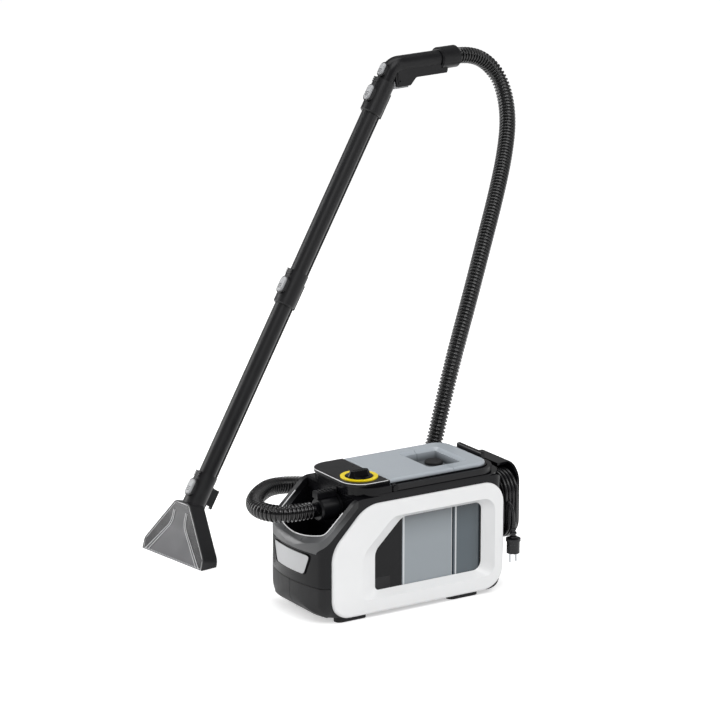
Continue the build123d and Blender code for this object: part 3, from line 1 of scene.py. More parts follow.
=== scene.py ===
import bpy
import bmesh
import math
from bisect import bisect_left
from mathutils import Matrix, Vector


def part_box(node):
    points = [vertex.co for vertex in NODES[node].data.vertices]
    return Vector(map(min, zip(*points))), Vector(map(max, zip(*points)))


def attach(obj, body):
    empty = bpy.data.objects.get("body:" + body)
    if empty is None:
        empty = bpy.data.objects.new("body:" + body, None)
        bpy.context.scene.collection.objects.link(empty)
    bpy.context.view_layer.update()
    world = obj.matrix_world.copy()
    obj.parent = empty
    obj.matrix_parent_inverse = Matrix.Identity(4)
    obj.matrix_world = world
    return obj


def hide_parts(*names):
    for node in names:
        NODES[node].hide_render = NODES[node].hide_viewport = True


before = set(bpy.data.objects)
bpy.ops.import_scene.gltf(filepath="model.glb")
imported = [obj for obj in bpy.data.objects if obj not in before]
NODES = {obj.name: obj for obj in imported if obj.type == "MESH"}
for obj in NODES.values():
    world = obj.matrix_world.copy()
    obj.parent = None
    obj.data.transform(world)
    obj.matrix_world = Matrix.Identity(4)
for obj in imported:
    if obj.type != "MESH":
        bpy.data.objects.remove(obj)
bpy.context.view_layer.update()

# Millimetres in a metre
MM = 1000

# Where the machine's middle lies in the frame, as in the CAD source, in metres
MACHINE = Vector((-0.100, -0.219, 0.0))

# Camera at the photograph's angle: degrees, metres and, for the lens, millimetres
CAMERA_AZIMUTH = 32.17
CAMERA_ELEVATION = 14.98
CAMERA_DISTANCE = 6.447
CAMERA_AIM = Vector((-0.080, 0.0, 0.478))
CAMERA_LENS = 171.25
CAMERA_SENSOR = 36

# Floor, world and lights, in metres, degrees and watts
FLOOR_HALF = 30
FLOOR_COLOUR = (0.86, 0.86, 0.86, 1)
FLOOR_ROUGHNESS = 0.75
FLOOR_SHINE = 0.2
FLOOR_LIFT = 0.48
WHITE = (1, 1, 1, 1)
WORLD_STRENGTH = 0.27
SUN_STRENGTH = 1.5
SUN_PLACE = (0.5, -3.0, 3.6)
SUN_ANGLE = 40
LIGHT_BOXES = {
    # name: power, place, aim, width, height
    "key_box": (13, (-1.5, -2.5, 2.7), (-0.1, 0.0, 0.4), 0.4, 0.4),
    "left_box": (60, (-2.1, 2.1, 1.3), (-0.1, 0.0, 0.4), 1.6, 2.4),
    "top_box": (24, (0.2, 0.5, 2.8), (-0.1, -0.1, 0.2), 2.2, 1.2),
    "right_box": (9, (2.2, -1.8, 1.4), (0.0, 0.0, 0.4), 0.5, 2.0),
}

# Suction hose's route in the machine's frame, in millimetres: the CAD source's points, with the
# second, third and fourth of them moved to round the loop beside the well
HOSE_START = (-188, -19, 206)
HOSE_ROUTE = [
    (-250, -19, 206),
    (-283, 22, 206),
    (-274, 72, 207),
    (-233, 122, 207),
    (-181, 155, 208),
    (-95, 160, 194),
    (-5, 161, 162),
    (80, 162, 140),
    (150, 166, 152),
    (200, 178, 202),
    (232, 195, 280),
    (280, 222, 380),
    (345, 265, 480),
    (412, 315, 575),
    (480, 370, 660),
    (540, 425, 735),
    (580, 472, 800),
    (588, 507, 862),
    (565, 524, 905),
]

# Hose's rings, in metres: radii, pitch and plain ends, and a direction it never runs along
HOSE_CREST = 0.0170
HOSE_ROOT = 0.0138
HOSE_PITCH = 0.0074
HOSE_PLAIN = 0.010
HOSE_SIDES = 28
HOSE_LEVEL = Vector((0, 1, -1))

# One ring of the hose: share of the pitch, and share of the step from root to crest
HOSE_RING = [
    (0.0, 0.0),
    (0.28, 0.0),
    (0.32, 0.15),
    (0.38, 0.75),
    (0.43, 0.92),
    (0.53, 0.99),
    (0.64, 1.0),
    (0.75, 0.99),
    (0.85, 0.92),
    (0.90, 0.75),
    (0.96, 0.15),
]

# How far to each side a line is looked at for its heading, in metres
HEADING_REACH = 0.004

# Wand: the nozzle lip's place, the turn, and the grip's height and end, in millimetres
LIP = (-263.0, 413.0)
WAND_YAW = math.radians(8.0)
WAND_TILT = math.radians(32.13)
AXIS_FOOT = -8.5
GRIP_Z = 929.059
CUFF_END = 745.976
HOSE_LEAD = 40.8

# Power cord winding, in millimetres, as in the CAD source
CORD_R = 3.5
CORD_PITCH = 7.8
CORD_STEP = 8.0
CORD_SEAT = 0.5
CORD_LOOPS = 4
CORD_FIRST_X = 195.5
WINDER_HALF = 74.0
WINDER_LOW = 108.0
WINDER_HIGH = 214.0
WINDER_R = 28.0
WINDER_CORNERS = [(1, 1), (-1, 1), (-1, -1), (1, -1)]
GLAND_X = 193.0
GLAND_Y = 79.1
GLAND_TOP = 164.0
GLAND_LEAD = 11.0
CORD_TAIL = [(201, -93, 178), (205, -102, 156), (205, -102, 138)]

# Shares of a quarter turn's sideways drift at a winding corner's outer and inner control points
DRIFT_OUTER = 0.3
DRIFT_INNER = 0.1

# Floor nozzle's front, in millimetres: lean, outline, ridges, painted highlight along the rim and
# ridges, and darker top
FACE_TILT = math.radians(14.5)
FACE_HALF = 94.0
FACE_SIDE = (0.788, 0.616, 87.0)
FACE_TOP = 115.0
RIDGE_FOOT = 89.0
RIDGE_SLOPE = 67 / 72
RIDGE_TOP_HALF = 22.0
RIDGE_RISE = 0.5
RIM_WIDTH = 1.3
FACE_DARK_LOW = 60.0
FACE_DARK_HIGH = 108.0

# Ribs along the nozzle's lip: count, pitch and height on the face in millimetres, size in metres
LIP_RIBS = 35
LIP_RIB_PITCH = 5.2
LIP_RIB_PLACE = 2.4
LIP_RIB_SIZE = (0.0032, 0.0032, 0.0009)

# Push buttons on the wand: body, place along the tube and outside of the button, in millimetres
BUTTONS = [
    ("nozzle_button", 151.0, 30.0),
    ("lower_button", 596.0, 30.0),
    ("upper_button", 1024.0, 30.0),
    ("slider", 1079.0, 23.5),
]
BUTTON_RIDGES = (-8.0, -4.5, -1.0)
BUTTON_RIDGE_SIZE = (0.0085, 0.0014, 0.0006)

# Studs on the selector knob's bar: place and pitches in millimetres, size in metres
KNOB = (-104.5, -35.5, 275.0)
STUD_ROWS = (-3.0, 3.0)
STUD_STEPS = range(-2, 3)
STUD_PITCH = 5.2
STUD_SIZE = (0.0026, 0.0024, 0.0007)

# Section of every ridge, rib and stud: foot's depth in metres, shoulder and top as shares
RIDGE_SINK = 0.0004
RIDGE_SHOULDER = 0.45
RIDGE_CROWN = 0.62

# Body's outline at the front, in millimetres
BODY_BOTTOM = 10.0
BODY_HALF = 98.0
CORNER_R = 24.0
BODY_BOW_R = 262.2
BOW_CENTRE = 24.2

# How the base's bottom edge is tucked under at the two front corners, in millimetres: its height
# and depth, where it sets in and is full, and where the mesh is divided for it
TUCK_HEIGHT = 36.0
TUCK_DEPTH = 24.0
TUCK_CUTS = 9
TUCK_SIDE = (55, 92)
TUCK_FRONT = (165, 205)
TUCK_CUTS_X = (-205, -198, -190, -182, -174, -165)
TUCK_CUTS_Y = (-91, -85, -79, -73, -64, -55, 55, 64, 73, 79, 85, 91)
CORE_MARGIN = 0.01

# Mesh work on the base, in metres: what counts as one point, and how near a cut takes a point
SAME_POINT = 0.000001
CUT_SNAP = 0.00002
SHARP_EDGE = math.radians(28)

# Inner edge of the hose well's rim, one half, in millimetres
WELL_EDGE = [
    (-172, -86, 214.4),
    (-184, -86, 203.0),
    (-198, -86, 189.8),
    (-207, -85.6, 181.3),
    (-213, -80.5, 175.6),
    (-217, -67, 171.8),
    (-223, -40, 166.2),
    (-226, -12, 163.4),
]

# Control plate's lower front edge, one half, in millimetres
PLATE_EDGE = [
    (-70, -84, 261.2),
    (-92.4, -84, 261.2),
    (-125.6, -84, 261.2),
    (-149, -60.6, 261.2),
    (-149, -27.4, 261.2),
]

# Painted highlights, as thin pale beads along edges: name, half line and radius in metres
EDGE_HIGHLIGHTS = (("well_edge_highlight", WELL_EDGE, 0.0011), ("plate_edge_highlight", PLATE_EDGE, 0.0007))

# Front badge: half outline (across, up) on the bowed front, in millimetres, and its bead
BADGE_OUTLINE = [
    (0, 135),
    (40, 135),
    (58, 135),
    (63, 132),
    (61, 124),
    (54, 108),
    (49, 94),
    (38, 94),
    (20, 94),
    (0, 94),
]
BADGE_BOW_R = 263.9
BADGE_BEAD_R = 0.0012


def at(x, y, z):
    """Machine-frame millimetres to frame metres."""
    return Vector((x, y, z)) / MM + MACHINE


def wand_at(h, v, z):
    """Wand-frame millimetres (along, across, up) to frame metres."""
    along = Vector((math.cos(WAND_YAW), math.sin(WAND_YAW), 0))
    across = Vector((-math.sin(WAND_YAW), math.cos(WAND_YAW), 0))
    return at(*LIP, 0) + (along * h + across * v + Vector((0, 0, z))) / MM


def tube_at(u, v, s):
    """Tube-frame millimetres (underside, across, up the axis) to frame metres."""
    h = AXIS_FOOT + s * math.sin(WAND_TILT) + u * math.cos(WAND_TILT)
    return wand_at(h, v, s * math.cos(WAND_TILT) - u * math.sin(WAND_TILT))


def face_at(x, y, out):
    """Nozzle-face millimetres (across, up the face, out of it) to frame metres."""
    along = y * math.sin(FACE_TILT) - out * math.cos(FACE_TILT)
    return wand_at(along, -x, y * math.cos(FACE_TILT) + out * math.sin(FACE_TILT))


# Materials

# The span of noise values that is used
NOISE_LOW = 0.3
NOISE_HIGH = 0.7

# Moulded plastic: patches of shade, changes of gloss, and grain
PATCH_SCALE = 9.0
PATCH_DETAIL = 4.0
GLOSS_SCALE = 40.0
GLOSS_SPAN = (0.9, 1.1)
GRAIN_DETAIL = 2.0
GRAIN_STRENGTH = 0.25
COAT_ROUGHNESS = 0.12

# Clear plastic: slow waves in the plate
WAVE_SCALE = 14.0
WAVE_DETAIL = 1.0

# Tanks: painted shade, darker towards the top, in metres, and painted highlights in the corners
TANK_TOP_SHADE = 0.5
TANK_TOP_SHADE_SPAN = (0.12, 0.215)
TANK_HIGHLIGHT_SPAN = (0.0005, 0.0022)
TANK_CORNER_HIGHLIGHT = (0.86, 0.88, 0.9)
TANK_HAZE_SCALE = 25.0
TANK_HAZE_SPAN = (0.8, 1.3)
TANK_IOR = 1.45
TANK_WAVE_STRENGTH = 0.12
TANK_WAVE_DEPTH = 0.0004

# Nozzle's cover
COVER_COLOUR = (0.14, 0.14, 0.148)
COVER_TOP_COLOUR = (0.04, 0.04, 0.043)
COVER_SIDE_COLOUR = (0.035, 0.035, 0.037)
COVER_HIGHLIGHT_COLOUR = (0.62, 0.62, 0.63)
COVER_HAZE_SCALE = 30.0
COVER_ROUGHNESS = (0.12, 0.2)
COVER_SEE_THROUGH = 0.2
COVER_WAVE_STRENGTH = 0.1
COVER_WAVE_DEPTH = 0.0003

# Bare metal: turning marks
MARK_SCALE = 700.0
MARK_DETAIL = 2.0
MARK_DARK = 0.85
MARK_GLOSS_SPAN = (0.8, 1.2)
MARK_STRENGTH = 0.1
MARK_DEPTH = 0.00003


def new_material(name):
    material = bpy.data.materials.new(name)
    material.use_nodes = True
    tree = material.node_tree
    return material, tree, tree.nodes["Principled BSDF"]


def noise(tree, scale, detail=3.0):
    """Object-space noise, so that the grain keeps its real size."""
    coords = tree.nodes.new("ShaderNodeTexCoord")
    texture = tree.nodes.new("ShaderNodeTexNoise")
    texture.inputs["Scale"].default_value = scale
    texture.inputs["Detail"].default_value = detail
    tree.links.new(coords.outputs["Object"], texture.inputs["Vector"])
    return texture.outputs["Fac"]


def spread(tree, factor, low, high):
    """Maps noise onto a span of values."""
    span = tree.nodes.new("ShaderNodeMapRange")
    span.inputs["From Min"].default_value = NOISE_LOW
    span.inputs["From Max"].default_value = NOISE_HIGH
    span.inputs["To Min"].default_value = low
    span.inputs["To Max"].default_value = high
    tree.links.new(factor, span.inputs["Value"])
    return span.outputs["Result"]


def shade(tree, factor, dark, light):
    """Colour between two shades by noise."""
    ramp = tree.nodes.new("ShaderNodeValToRGB")
    ramp.color_ramp.elements[0].position = NOISE_LOW
    ramp.color_ramp.elements[1].position = NOISE_HIGH
    ramp.color_ramp.elements[0].color = (*dark, 1)
    ramp.color_ramp.elements[1].color = (*light, 1)
    tree.links.new(factor, ramp.inputs["Fac"])
    return ramp.outputs["Color"]


def bump(tree, shader, height, strength, depth):
    """Makes a height, at a depth in metres, the shader's relief."""
    node = tree.nodes.new("ShaderNodeBump")
    node.inputs["Strength"].default_value = strength
    node.inputs["Distance"].default_value = depth
    tree.links.new(height, node.inputs["Height"])
    tree.links.new(node.outputs["Normal"], shader.inputs["Normal"])


def mix(tree, factor, first, second):
    """First colour where the factor is 0, second where it is 1; each a tuple or a socket."""
    node = tree.nodes.new("ShaderNodeMix")
    node.data_type = "RGBA"
    tree.links.new(factor, node.inputs["Factor"])
    for socket, value in ((node.inputs["A"], first), (node.inputs["B"], second)):
        if isinstance(value, tuple):
            socket.default_value = (*value, 1)
        else:
            tree.links.new(value, socket)
    return node.outputs["Result"]


def combine(tree, operation, first, second=0.0):
    """One step of arithmetic on numbers and sockets."""
    node = tree.nodes.new("ShaderNodeMath")
    node.operation = operation
    for socket, value in zip(node.inputs, (first, second)):
        if isinstance(value, (int, float)):
            socket.default_value = value
        else:
            tree.links.new(value, socket)
    return node.outputs["Value"]


def position(tree, axis):
    """A surface point's place along one of the frame's axes, in metres."""
    coords = tree.nodes.new("ShaderNodeTexCoord")
    parts = tree.nodes.new("ShaderNodeSeparateXYZ")
    tree.links.new(coords.outputs["Object"], parts.inputs["Vector"])
    return parts.outputs[axis]


def between(tree, value, low, high, kind="SMOOTHSTEP"):
    """Rises from 0 at low to 1 at high."""
    span = tree.nodes.new("ShaderNodeMapRange")
    span.interpolation_type = kind
    span.inputs["From Min"].default_value = low
    span.inputs["From Max"].default_value = high
    tree.links.new(value, span.inputs["Value"])
    return span.outputs["Result"]


def scaled(colour, share):
    return tuple(min(1.0, channel * share) for channel in colour)


def moulded(
    name, colour, roughness, grain=2400.0, depth=0.00006, vary=0.12,
    metallic=0.0, coat=0.0, shine=0.5, below=None,
):
    """Moulded plastic: slight shade and gloss changes over a fine spark-eroded grain."""
    material, tree, shader = new_material(name)
    patches = noise(tree, PATCH_SCALE, PATCH_DETAIL)
    tint = shade(tree, patches, scaled(colour, 1 - vary), scaled(colour, 1 + vary))
    if below:
        low, high, low_colour = below
        tint = mix(tree, between(tree, position(tree, "Z"), low, high), low_colour, tint)
    tree.links.new(tint, shader.inputs["Base Color"])
    gloss = spread(tree, noise(tree, GLOSS_SCALE), *(roughness * share for share in GLOSS_SPAN))
    tree.links.new(gloss, shader.inputs["Roughness"])
    shader.inputs["Metallic"].default_value = metallic
    shader.inputs["Specular IOR Level"].default_value = shine
    shader.inputs["Coat Weight"].default_value = coat
    shader.inputs["Coat Roughness"].default_value = COAT_ROUGHNESS
    if depth:
        bump(tree, shader, noise(tree, grain, GRAIN_DETAIL), GRAIN_STRENGTH, depth)
    return material


def smoked(name, colour, roughness, see_through, corners, shade_span=None):
    """Tinted clear plastic, part haze and part see-through, with painted highlights in its
    upright corners and painted shade towards its top.
    """
    material, tree, shader = new_material(name)
    dark = scaled(colour, TANK_TOP_SHADE)
    # Painted shade: the tank's colour goes darker towards its top, where the side panel's reveal
    # shades it
    tint = mix(tree, between(tree, position(tree, "Z"), *TANK_TOP_SHADE_SPAN), colour, dark)
    # Painted shade: the tank goes darker along X towards its rear end
    if shade_span:
        tint = mix(tree, between(tree, position(tree, "X"), *shade_span), tint, dark)
    # Painted highlights: pale lines along the tank's upright corners
    for corner in corners:
        off = combine(tree, "ABSOLUTE", combine(tree, "SUBTRACT", position(tree, "X"), corner))
        tint = mix(tree, between(tree, off, *TANK_HIGHLIGHT_SPAN), TANK_CORNER_HIGHLIGHT, tint)
    tree.links.new(tint, shader.inputs["Base Color"])
    haze = noise(tree, TANK_HAZE_SCALE)
    gloss = spread(tree, haze, *(roughness * share for share in TANK_HAZE_SPAN))
    tree.links.new(gloss, shader.inputs["Roughness"])
    shader.inputs["Transmission Weight"].default_value = see_through
    shader.inputs["IOR"].default_value = TANK_IOR
    waves = noise(tree, WAVE_SCALE, WAVE_DETAIL)
    bump(tree, shader, waves, TANK_WAVE_STRENGTH, TANK_WAVE_DEPTH)
    return material


def lip_distance(tree, axis):
    """How far a surface point lies from the nozzle's lip along an axis, in millimetres."""
    coords = tree.nodes.new("ShaderNodeTexCoord")
    along = tree.nodes.new("ShaderNodeVectorMath")
    along.operation = "DOT_PRODUCT"
    along.inputs[1].default_value = axis
    tree.links.new(coords.outputs["Object"], along.inputs[0])
    metres = combine(tree, "SUBTRACT", along.outputs["Value"], axis.dot(face_at(0, 0, 0)))
    return combine(tree, "MULTIPLY", metres, MM)


def cover_plastic(name):
    """Grey clear plate: darker beside its ridges, with painted highlights along ridges and rim.
    """
    material, tree, shader = new_material(name)
    lip = face_at(0, 0, 0)
    across, up, out = (
        lip_distance(tree, (face_at(*step) - lip).normalized())
        for step in ((1, 0, 0), (0, 1, 0), (0, 0, 1))
    )
    side = combine(tree, "ABSOLUTE", across)
    ridge = combine(tree, "SUBTRACT", RIDGE_FOOT, combine(tree, "MULTIPLY", up, RIDGE_SLOPE))
    ridge = combine(tree, "MAXIMUM", ridge, RIDGE_TOP_HALF)
    outside = combine(tree, "GREATER_THAN", side, ridge)

    slope_across, slope_up, slope_reach = FACE_SIDE
    slanted = combine(tree, "MULTIPLY", side, slope_across)
    slanted = combine(tree, "ADD", slanted, combine(tree, "MULTIPLY", up, slope_up))
    rim = combine(tree, "SUBTRACT", FACE_HALF, side)
    rim = combine(tree, "MINIMUM", rim, combine(tree, "SUBTRACT", FACE_TOP, up))
    rim = combine(tree, "MINIMUM", rim, combine(tree, "SUBTRACT", slope_reach, slanted))
    # Painted highlights: pale lines along the rim and on top of the ridges
    highlight_lines = combine(tree, "LESS_THAN", rim, RIM_WIDTH)
    highlight_lines = combine(tree, "MAXIMUM", highlight_lines, combine(tree, "GREATER_THAN", out, RIDGE_RISE))

    height = between(tree, up, FACE_DARK_LOW, FACE_DARK_HIGH, "LINEAR")
    plate = mix(tree, height, COVER_COLOUR, COVER_TOP_COLOUR)
    plate = mix(tree, outside, plate, COVER_SIDE_COLOUR)
    plate = mix(tree, highlight_lines, plate, COVER_HIGHLIGHT_COLOUR)
    tree.links.new(plate, shader.inputs["Base Color"])
    gloss = spread(tree, noise(tree, COVER_HAZE_SCALE), *COVER_ROUGHNESS)
    tree.links.new(gloss, shader.inputs["Roughness"])
    shader.inputs["Transmission Weight"].default_value = COVER_SEE_THROUGH
    waves = noise(tree, WAVE_SCALE, WAVE_DETAIL)
    bump(tree, shader, waves, COVER_WAVE_STRENGTH, COVER_WAVE_DEPTH)
    return material


def brushed(name, colour, roughness):
    """Bare metal with fine turning marks."""
    material, tree, shader = new_material(name)
    marks = noise(tree, MARK_SCALE, MARK_DETAIL)
    tint = shade(tree, marks, scaled(colour, MARK_DARK), colour)
    tree.links.new(tint, shader.inputs["Base Color"])
    gloss = spread(tree, marks, *(roughness * share for share in MARK_GLOSS_SPAN))
    tree.links.new(gloss, shader.inputs["Roughness"])
    shader.inputs["Metallic"].default_value = 1.0
    bump(tree, shader, marks, MARK_STRENGTH, MARK_DEPTH)
    return material


# Tanks' painted corner highlights and the clean tank's painted shade towards its rear, as places
# along X in metres
DIRTY_CORNER_HIGHLIGHTS = (-0.1345, -0.0245)
CLEAN_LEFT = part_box("clean_tank")[0][0]
CLEAN_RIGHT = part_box("clean_tank")[1][0]
CLEAN_CORNER_HIGHLIGHTS = (CLEAN_LEFT + 0.0045,)
CLEAN_SHADE_SPAN = (CLEAN_LEFT + 0.03, CLEAN_RIGHT - 0.005)

# Colour and roughness of each finish; a below entry says between which heights, in metres, the
# colour changes into another one further down
MATERIALS = {
    "black": moulded("black_moulded", (0.005, 0.005, 0.006), 0.34, shine=0.2),
    "grip": moulded("black_grip", (0.006, 0.006, 0.007), 0.34, depth=0.00003, shine=0.2),
    "tube": moulded("black_tube", (0.006, 0.006, 0.007), 0.42, depth=0.00003, shine=0.32),
    "pan": moulded(
        "black_matte", (0.012, 0.012, 0.013), 0.5, grain=1600.0, depth=0.0001, shine=0.25,
    ),
    "shell": moulded("black_shell", (0.004, 0.004, 0.005), 0.22, depth=0.00002, shine=0.2),
    "satin": moulded("black_satin", (0.005, 0.005, 0.006), 0.30, grain=1900.0, shine=0.25),
    "gloss": moulded("black_gloss", (0.003, 0.003, 0.004), 0.10, depth=0.0, shine=0.18),
    "white": moulded("white_satin", (0.83, 0.835, 0.84), 0.36, vary=0.012, depth=0.00003),
    "silver": moulded(
        "silver_paint", (0.006, 0.006, 0.007), 0.3, depth=0.0, shine=0.4,
        below=(0.176, 0.214, (0.085, 0.087, 0.09)),
    ),
    "badge": moulded(
        "silver_badge", (0.46, 0.465, 0.475), 0.34, vary=0.03, depth=0.0, metallic=0.2,
    ),
    # Painted highlight: pale colour of the beads that stand for light on the edges
    "edge": moulded("painted_edge_highlight", (0.84, 0.84, 0.85), 0.22, vary=0.02, depth=0.0),
    # Painted shade: the lid goes dark below its top surface, down in its fill pit
    "lid": moulded(
        "grey_lid", (0.385, 0.42, 0.455), 0.22, vary=0.02, depth=0.0, coat=0.3,
        below=(0.2425, 0.2615, (0.11, 0.12, 0.13)),
    ),
    "grey": moulded("grey_moulded", (0.34, 0.345, 0.355), 0.40, vary=0.05, depth=0.00003),
    # Painted shade: dark grey on the buttons' raised ridges, standing for shade in finger grooves
    "groove": moulded("painted_groove_shade", (0.10, 0.10, 0.105), 0.5, vary=0.05, depth=0.00003),
    "yellow": moulded("yellow_gloss", (0.88, 0.68, 0.006), 0.28, vary=0.04, coat=0.2),
    "dirty": smoked("smoked_light", (0.37, 0.41, 0.44), 0.12, 0.25, DIRTY_CORNER_HIGHLIGHTS),
    "clean": smoked(
        "smoked_dark", (0.115, 0.145, 0.168), 0.10, 0.3, CLEAN_CORNER_HIGHLIGHTS, CLEAN_SHADE_SPAN,
    ),
    "cover": cover_plastic("grey_clear"),
    "rubber": moulded(
        "black_rubber", (0.012, 0.012, 0.013), 0.62, grain=1500.0, depth=0.0001, shine=0.3,
    ),
    "cord": moulded("cord_sheath", (0.007, 0.007, 0.008), 0.26, grain=1800.0, shine=0.35),
    "hose": moulded("hose_black", (0.002, 0.002, 0.0025), 0.15, depth=0.0, shine=0.55),
    "steel": brushed("bare_steel", (0.62, 0.63, 0.65), 0.25),
    "aluminium": brushed("bare_aluminium", (0.72, 0.72, 0.74), 0.32),
}
FINISHES = {
    "pan": ["base_pan"],
    "shell": ["front_shell", "tank_bay"],
    "silver": ["well_trim"],
    "badge": ["badge_plate"],
    "white": ["left_side_panel", "right_side_panel", "float_guide", "tank_float"],
    "tube": ["upper_tube", "lower_tube", "nozzle_body"],
    "grip": ["handle_body", "handle_cuff"],
    "gloss": ["top_rim", "handle_pivots", "cord_winder", "selector_knob"],
    "satin": [
        "top_plate", "carry_handle", "spray_coupling", "fan_case", "hose_socket", "hose_cuff",
    ],
    "lid": ["dirty_tank_lid", "clean_tank_lid"],
    "grey": [
        "handle_slider", "spray_trigger", "spray_valve", "upper_release_button",
        "lower_release_button", "nozzle_release_button",
    ],
    "yellow": ["knob_ring"],
    "dirty": ["dirty_tank"],
    "clean": ["clean_tank"],
    "cover": ["nozzle_cover"],
    "rubber": [
        "feet", "dirty_tank_seal", "clean_tank_seal", "motor_mount", "cord_gland", "fill_cap",
    ],
    "cord": ["plug_body"],
    "steel": ["plug_pins", "suction_motor"],
    "aluminium": ["fan_rotor"],
}


def dress(obj, key):
    obj.data.materials.clear()
    obj.data.materials.append(MATERIALS[key])


def dress_nodes():
    """Every CAD node gets its finish, black moulded plastic where none is named."""
    finish_of = {node: key for key, nodes in FINISHES.items() for node in nodes}
    for node, obj in NODES.items():
        material = MATERIALS[finish_of.get(node, "black")]
        if not obj.material_slots:
            obj.data.materials.append(material)
        for slot in obj.material_slots:
            slot.material = material


# Curves and tubes


def link_mesh(name, mesh):
    """Turns a finished bmesh into an object of the scene."""
    data = bpy.data.meshes.new(name)
    mesh.normal_update()
    mesh.to_mesh(data)
    mesh.free()
    obj = bpy.data.objects.new(name, data)
    bpy.context.scene.collection.objects.link(obj)
    return obj


def nurbs_curve(name, points, bevel=0.0):
    """Open quadratic spline with the route's points as its control points."""
    curve = bpy.data.curves.new(name, "CURVE")
    curve.dimensions = "3D"
    curve.resolution_u = 12
    curve.bevel_depth = bevel
    curve.bevel_resolution = 4
    curve.use_fill_caps = bevel > 0
    spline = curve.splines.new("NURBS")
    spline.points.add(len(points) - 1)
    for control, point in zip(spline.points, points):
        control.co = (*point, 1)
    spline.order_u = 3
    spline.use_endpoint_u = True
    obj = bpy.data.objects.new(name, curve)
    bpy.context.scene.collection.objects.link(obj)
    return obj


def spline_points(name, points):
    """Points along the smooth line of a bevel-less curve."""
    guide = nurbs_curve(name, points)
    bpy.context.view_layer.update()
    mesh = bpy.data.meshes.new_from_object(guide)
    line = [vertex.co.copy() for vertex in mesh.vertices]
    bpy.data.objects.remove(guide)
    bpy.data.meshes.remove(mesh)
    return line


class Line:
    """A smooth line that can be asked for the place and direction at a length along it."""

    def __init__(self, points):
        self.points = points
        self.marks = [0.0]
        for before, here in zip(points, points[1:]):
            self.marks.append(self.marks[-1] + (here - before).length)
        self.length = self.marks[-1]

    def place(self, length):
        length = min(max(length, 0.0), self.length)
        index = bisect_left(self.marks, length, 1, len(self.marks) - 1)
        span = self.marks[index] - self.marks[index - 1]
        share = (length - self.marks[index - 1]) / span
        return self.points[index - 1].lerp(self.points[index], share)

    def heading(self, length):
        ahead, behind = self.place(length + HEADING_REACH), self.place(length - HEADING_REACH)
        return (ahead - behind).normalized()


def tube_mesh(name, line, stations, sides):
    """Mesh tube: one ring for each (length, radius) station, with a steady ring frame."""
    mesh = bmesh.new()
    rings = []
    for length, radius in stations:
        heading = line.heading(length)
        first = HOSE_LEVEL.cross(heading).normalized()
        second = heading.cross(first)
        centre = line.place(length)
        ring = []
        for side in range(sides):
            turn = math.tau * side / sides
            out = first * math.cos(turn) + second * math.sin(turn)
            ring.append(mesh.verts.new(centre + out * radius))
        rings.append(ring)
    close_rings(mesh, rings)
    for face in mesh.faces:
        face.smooth = len(face.verts) == 4
    return link_mesh(name, mesh)


def close_rings(mesh, rings):
    """Joins rings of vertices to each other, and closes the first and the last one."""
    for low, high in zip(rings, rings[1:]):
        for corner in range(len(low)):
            after = (corner + 1) % len(low)
            mesh.faces.new((low[corner], low[after], high[after], high[corner]))
    mesh.faces.new(reversed(rings[0]))
    mesh.faces.new(rings[-1])


def hose_points():
    """Control points of the hose, from its cuff on the machine to its cuff on the grip."""
    end = wand_at(CUFF_END, 0, GRIP_Z)
    lead = wand_at(CUFF_END + HOSE_LEAD, 0, GRIP_Z)
    return [at(*HOSE_START)] + [at(*point) for point in HOSE_ROUTE] + [lead, end]


def make_hose():
    """Corrugated suction hose: broad crests and narrow grooves along the route's spline."""
    line = Line(spline_points("hose_line", hose_points()))
    ribs = round((line.length - 2 * HOSE_PLAIN) / HOSE_PITCH)
    pitch = (line.length - 2 * HOSE_PLAIN) / ribs
    stations = [(0.0, HOSE_ROOT)]
    for rib in range(ribs):
        start = HOSE_PLAIN + rib * pitch
        for share, height in HOSE_RING:
            radius = HOSE_ROOT + (HOSE_CREST - HOSE_ROOT) * height
            stations.append((start + share * pitch, radius))
    stations.append((line.length - HOSE_PLAIN, HOSE_ROOT))
    stations.append((line.length, HOSE_ROOT))
    hose = tube_mesh("ribbed_hose", line, stations, HOSE_SIDES)
    dress(hose, "hose")
    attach(hose, "machine")
    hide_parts("suction_hose")


def winding_points():
    """Control points of the winding: four to each corner, to keep the core's round corners."""
    quarter = CORD_PITCH / 4
    steps = 4 * CORD_LOOPS
    last_x = CORD_FIRST_X + (steps - 1) * quarter
    tangent = math.tan(math.radians(22.5))
    points = [(GLAND_X, GLAND_Y, GLAND_TOP), (GLAND_X, GLAND_Y, GLAND_TOP + GLAND_LEAD)]
    for step in range(2 * steps - 2):
        layer = step // steps
        side_y, side_z = WINDER_CORNERS[step % 4]
        x = CORD_FIRST_X + step * quarter if layer == 0 else last_x - (step - steps) * quarter
        drift = quarter if layer == 0 else -quarter
        out = CORD_R + CORD_SEAT + layer * CORD_STEP
        radius = WINDER_R + out
        corner_y = side_y * (WINDER_HALF + out)
        corner_z = WINDER_HIGH + out if side_z > 0 else WINDER_LOW - out
        enters_along_z = side_y * side_z > 0
        near, far = radius * (1 - tangent), radius * (1 + tangent)
        for reach, first, share in (
            (far, True, -DRIFT_OUTER),
            (near, True, -DRIFT_INNER),
            (near, False, DRIFT_INNER),
            (far, False, DRIFT_OUTER),
        ):
            along_z = enters_along_z == first
            y = corner_y if along_z else corner_y - side_y * reach
            z = corner_z - side_z * reach if along_z else corner_z
            points.append((x + share * drift, y, z))
    return points


def make_cord():
    """Power cord wound on the rear winder, its tail hanging down to the plug."""
    points = [at(*point) for point in winding_points() + CORD_TAIL]
    cord = nurbs_curve("power_lead", points, CORD_R / MM)
    cord.data.materials.append(MATERIALS["cord"])
    line = Line(spline_points("cord_line", points))
    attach(cord, "machine")
    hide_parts("power_cord")


# Small mouldings


